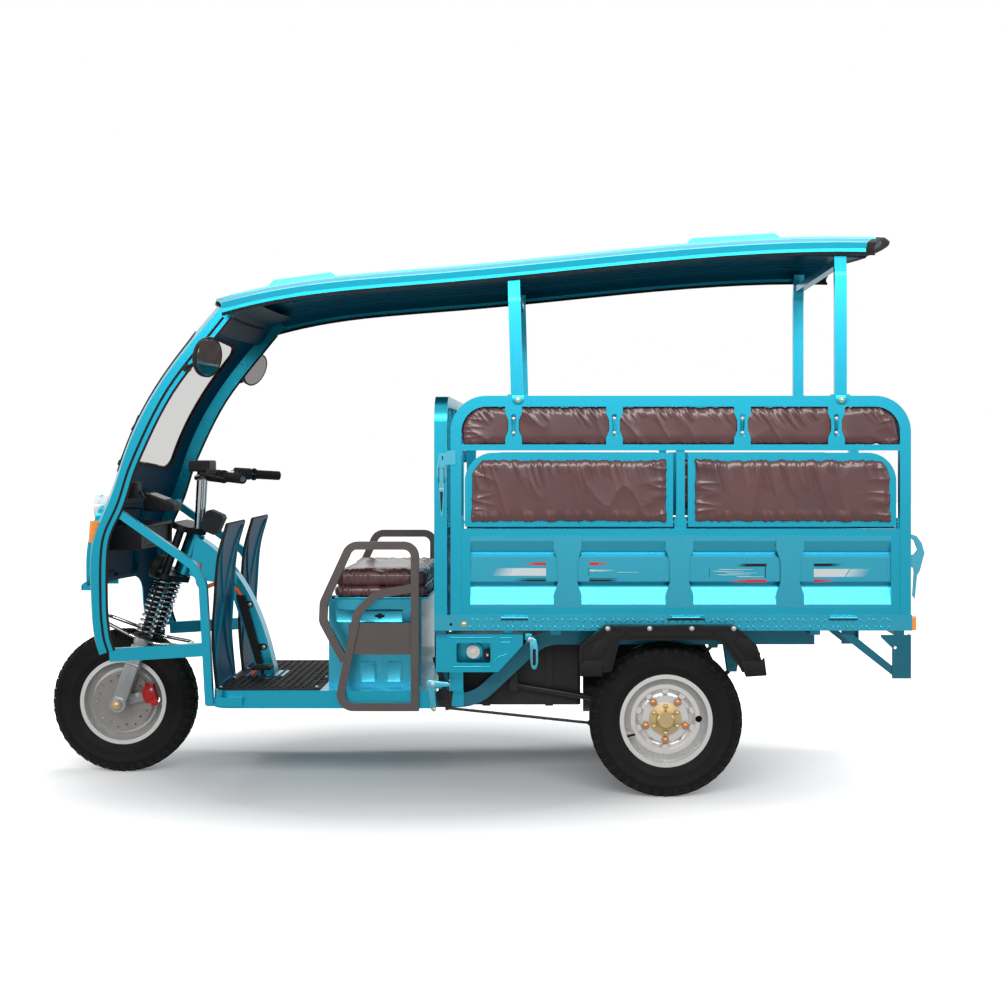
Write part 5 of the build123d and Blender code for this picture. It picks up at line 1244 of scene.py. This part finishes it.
def steering_head_horn():
    """Horn and its angled bracket in front of the steering head."""
    along = Vector((math.sin(FORK_RAKE), 0, math.cos(FORK_RAKE)))
    ahead = Vector((-math.cos(FORK_RAKE), 0, math.sin(FORK_RAKE)))
    root = Vector((FRONT_AXLE_X + 0.044 / math.cos(FORK_RAKE), 0, TYRE_RADIUS))
    horn_at = root + along * 0.500 + ahead * 0.085
    horn = pin("horn", horn_at, horn_at + ahead * 0.034, 0.046, "black_plastic", 36, 0.006, 3)
    pieces = [stepped(horn, ahead, [(0.010, 0), (0.003, -0.006)], least=0.001)]
    for size, up, front in (((0.0035, 0.024, 0.105), 0.496, 0.086), ((0.056, 0.024, 0.0035), 0.5008, 0.087)):
        arm = block("arm", (0, 0, 0), size, "black_paint", 0.001, 1)
        place = root + along * up + ahead * front + Vector((0, -0.012, 0))
        arm.data.transform(Matrix.Translation(place) @ Matrix.Rotation(FORK_RAKE, 4, "Y"))
        pieces.append(arm)
    fit(pieces, "horn", "steering", 40)


# ---------------------------------------------------------------- mirrors and lamps
def mirror_glasses():
    for name, x, side, z, lean in (("left", -0.901, -1, 1.535, 8), ("right", -0.941, 1, 1.547, 22)):
        turn = Matrix.Rotation(math.radians(-26), 4, "Z") @ Matrix.Rotation(math.radians(lean), 4, "Y")
        glass = pin("glass", (0.0082, 0, 0), (0.0096, 0, 0), 0.0645, "mirror_glass", 64, 0.0006)
        glass.data.transform(Matrix.Translation((x, side * 0.525, z)) @ turn)
        fit([glass], f"mirror_glass_{name}", angle=30)


def lamp_lenses():
    """Fluted lens discs in the headlamps."""
    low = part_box("headlamps")[0][0]
    for name, y in (("left", -0.2), ("right", 0.2)):
        lens = cylinder("lens", (low + 0.0038, y, 1.002), (low + 0.0005, y, 1.002), 0.0392, "clear_lamp", 48)
        stepped(lens, (-1, 0, 0), [(0.005, 0.0006), (0.005, -0.0006)] * 3)
        fit([lens], f"headlamp_lens_{name}", angle=60)


# ---------------------------------------------------------------- cab trims, header and floor
SHELL_LINE = ((-1.294, 0.494), (-1.312, 0.560), (-1.322, 0.687), (-1.315, 0.897), (-1.259, 1.038), (-1.206, 1.195),
              (-1.083, 1.441), (-0.901, 1.676), (-0.838, 1.750))
SHIELD_LINE = ((-0.898, 0.366), (-0.912, 0.540), (-0.905, 0.680), (-0.893, 0.830), (-0.862, 0.950))
HEADER_LINE = ((-0.905, 1.640), (-0.885, 1.658), (-0.868, 1.690), (-0.850, 1.715), (-0.800, 1.735), (-0.760, 1.750))
HEADER_HALF, HEADER_CROWN = 0.43, 0.03


def sampled(line, steps=6):
    """Points on a smooth line through the given (x, z) points, each with its rearward normal."""
    whole = [Vector(p) for p in line]
    ends = [2 * whole[0] - whole[1]] + whole + [2 * whole[-1] - whole[-2]]
    points = []
    for k in range(1, len(ends) - 2):
        a, b, c, d = ends[k - 1:k + 3]
        for step in range(steps):
            t = step / steps
            bend = (2 * a - 5 * b + 4 * c - d) * t * t + (3 * b - a - 3 * c + d) * t ** 3
            points.append(0.5 * (2 * b + (c - a) * t + bend))
    points.append(whole[-1])
    result = []
    for k, point in enumerate(points):
        along = (points[min(k + 1, len(points) - 1)] - points[max(k - 1, 0)]).normalized()
        result.append((point, Vector((along.y, -along.x))))
    return result


def ribbon(line, low, high, y, thick, edge, segments, top=9.0):
    """Rubber strip between two offsets behind a line, below top, from y inwards or outwards by thick."""
    kept = [(p, n) for p, n in sampled(line) if (p + n * high).y < top]
    outline = [p + n * low for p, n in kept] + [p + n * high for p, n in reversed(kept)]
    return rounded(panel("ribbon", [(p.x, y, p.y) for p in outline], (0, thick, 0), "trim_rubber"), edge, segments, 60)


def cab_trims():
    """Rubber strip on the flange and the bead on its rear edge."""
    edge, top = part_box("cab_shell")[0][1], 1.685
    fit_both([ribbon(SHELL_LINE, 0.026, 0.0345, edge + 0.0003, -0.0022, 0.0007, 1, top)], "flange_strip", 40)
    fit_both([ribbon(SHELL_LINE, 0.0485, 0.0555, edge - 0.0018, 0.009, 0.0014, 2, top)], "flange_bead", 40)


def header_crown(y):
    return HEADER_CROWN * (1 - (y / HEADER_HALF) ** 2)


def cab_header():
    """Sheet that closes the cab under the canopy's front, its teal darkened as painted shade, with its row of slots
    drawn as black blocks for the shade in them.
    """
    profile = [Vector(p) for p in HEADER_LINE]
    bpy.ops.mesh.primitive_grid_add(x_subdivisions=20, y_subdivisions=30, size=1)
    sheet = started("cab_header", "teal_header_shade")
    for vertex in sheet.data.vertices:
        t = (vertex.co.x + 0.5) * (len(profile) - 1)
        k = min(int(t), len(profile) - 2)
        point = profile[k].lerp(profile[k + 1], t - k)
        y = 2 * HEADER_HALF * vertex.co.y
        vertex.co = (point.x - header_crown(y), y, point.y)
    modify(sheet, "SOLIDIFY", thickness=0.0022, offset=0)
    fit([tidy_mesh(sheet)], "cab_header", angle=40)
    # Black rubber blocks through the sheet for its slots: painted shade in the openings.
    slats = []
    for k in range(19):
        y = -0.351 + 0.039 * k
        x = -0.862 - header_crown(y)
        slats.append(block("slat", (x - 0.004, y - 0.014, 1.6935), (x + 0.006, y + 0.014, 1.7035), "trim_rubber", 0.0015, 1))
    fit(slats, "header_slot_shades")


def shield_trims():
    """Black edging around each leg shield."""
    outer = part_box("leg_shields")[1][1]
    strips = [ribbon(SHIELD_LINE, -0.0045, 0.0065, y, 0.007, 0.002, 2) for y in (-outer - 0.0012, -0.0835)]
    top = cylinder("top", (-0.8615, -outer + 0.002, 0.9495), (-0.8615, -0.082, 0.9495), 0.0048, "trim_rubber", 12)
    fit_both(strips + [top], "shield_edging", 40)


def dash_parts():
    """Wiper motor and strut behind the nose, the lamps' housing, and the fuse box on its bracket."""
    motor = pin("motor", (-1.262, -0.300, 1.075), (-1.214, -0.300, 1.062), 0.026, "black_plastic", 28, 0.004, 2)
    gear = block("gear", (-1.232, -0.330, 1.040), (-1.196, -0.262, 1.098), "black_plastic", 0.006, 3)
    strut = cylinder("strut", (-1.222, -0.285, 1.100), (-1.180, -0.285, 1.040), 0.0055, "black_paint", 14)
    fit([motor, gear, strut], "wiper_motor", angle=40)
    housing = cube("housing", (-1.362, -0.235, 0.846), (-1.206, 0.235, 0.936), "black_plastic")
    stepped(housing, (1, 0, 0), [(0.012, 0)], push=(-0.014, 0, 0))
    fit([rounded(housing, 0.012, 3)], "lamp_housing", angle=40)
    fuse = cube("fuse", (-1.236, -0.082, 0.984), (-1.128, 0.060, 1.056), "black_plastic")
    shifted(fuse, lambda v: v.co.x > -1.17 and v.co.z > 1.02, (0.004, 0, -0.044))
    arm = block("arm", (-1.342, -0.018, 0.990), (-1.214, 0.018, 0.996), "black_paint", 0.001, 1)
    fit([rounded(fuse, 0.007, 3), arm], "fuse_box", angle=40)
    corners = [(-1.217, -0.070, 1.0490), (-1.160, -0.070, 1.0270), (-1.160, 0.030, 1.0270), (-1.217, 0.030, 1.0490)]
    fit([panel("plate", corners, (0.0006, 0, 0.0016), "socket_white")], "fuse_plate")


def floor_fittings():
    """Foot brake, and the mat's raised ribs and screws."""
    low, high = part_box("floor_mat")
    top, half = high[2], high[1] - 0.03
    ribs = []
    for k in range(12):
        x = low[0] + 0.028 + 0.0275 * k
        ribs.append(block("rib", (x, -half, top - 0.0006), (x + 0.011, half, top + 0.0022), "mat_rubber", 0.0011, 1))
    fit(ribs, "mat_ribs")
    heads = [bolt((x, y, top + 0.0002), (0, 0, 1), 0.006, "bare_steel", False)
             for x in (low[0] + 0.014, high[0] - 0.014) for y in (-0.36, -0.12, 0.12, 0.36)]
    fit(heads, "mat_screws")
    brake = [block("pad", (-0.812, -0.196, 0.405), (-0.742, -0.118, 0.417), "trim_rubber", 0.004, 3)]
    for k in range(5):
        x = -0.806 + 0.012 * k
        brake.append(block("groove", (x, -0.190, 0.4162), (x + 0.006, -0.124, 0.4188), "trim_rubber", 0.001, 1))
    brake.append(block("arm", (-0.785, -0.163, 0.366), (-0.770, -0.151, 0.406), "black_paint", 0.002, 1))
    brake.append(block("foot", (-0.800, -0.176, top - 0.0003), (-0.755, -0.138, top + 0.004), "black_paint", 0.0015, 1))
    fit(brake, "foot_brake", angle=40)


def seat_box_details():
    """Pressed fields, the door's line and its latch on the seat box."""
    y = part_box("seat_box")[0][1]
    fields = []
    for x0, x1, z0, z1, radius, rim, rise in (
        (-0.398, -0.340, 0.378, 0.452, 0.010, 0.006, 0.004),
        (-0.306, -0.248, 0.378, 0.452, 0.010, 0.006, 0.004),
        (-0.486, -0.244, 0.594, 0.640, 0.008, 0.004, 0.003),
    ):
        field = side_plate("field", rounded_rectangle(x0, x1, z0, z1, radius), y + 0.0005, rise + 0.0005, "teal_sheet")
        fields.append(rounded(stepped(field, OUT_LEFT, [(rim, 0)], move=(0, 0.7 * rise, 0)), 0.0008, 2, 50))
    fit_both(fields, "seat_box_fields", 40)
    latch = [
        block("latch", (-0.345, y - 0.0042, 0.6115), (-0.311, y - 0.0008, 0.6205), "black_marks_and_shade", 0.001, 1),
        block("latch", (-0.335, y - 0.0045, 0.607), (-0.321, y - 0.0008, 0.625), "black_marks_and_shade", 0.001, 1),
    ]
    fit_both(latch, "seat_box_latch")


def cover_screws():
    """Tabs and screws that hold the cable cover to the beam."""
    tabs, heads = [], []
    for x, z in ((-0.846, 0.632), (-0.794, 0.472)):
        nose = arc(x, z, 0.012, -70, 90, 20)
        outline = [(x - 0.022, z - 0.012), (x, z - 0.012)] + nose + [(x, z + 0.012), (x - 0.022, z + 0.012)]
        tab = panel("tab", [(px, -0.0385, pz) for px, pz in outline], (0, -0.0035, 0), "trim_rubber")
        tabs.append(rounded(tab, 0.0008, 1, 50))
        heads.append(bolt((x, -0.042, z), OUT_LEFT, 0.0048, "bare_steel", False))
    fit(tabs, "cover_tabs")
    fit(heads, "cover_screws")


make_cushions()
make_tyres()
for details in (
    strap_details, foot_tabs, stripe_sets, band_beads, tread_plate, skirt_fittings, electrics_details, link_details,
    latch_details, mudguard_panels, wheel_fittings, cab_trims, cab_header, shield_trims, dash_parts, floor_fittings,
    seat_box_details, mirror_glasses, lamp_lenses, cover_screws, fork_fittings, caliper_fittings, steering_head_horn,
):
    details()
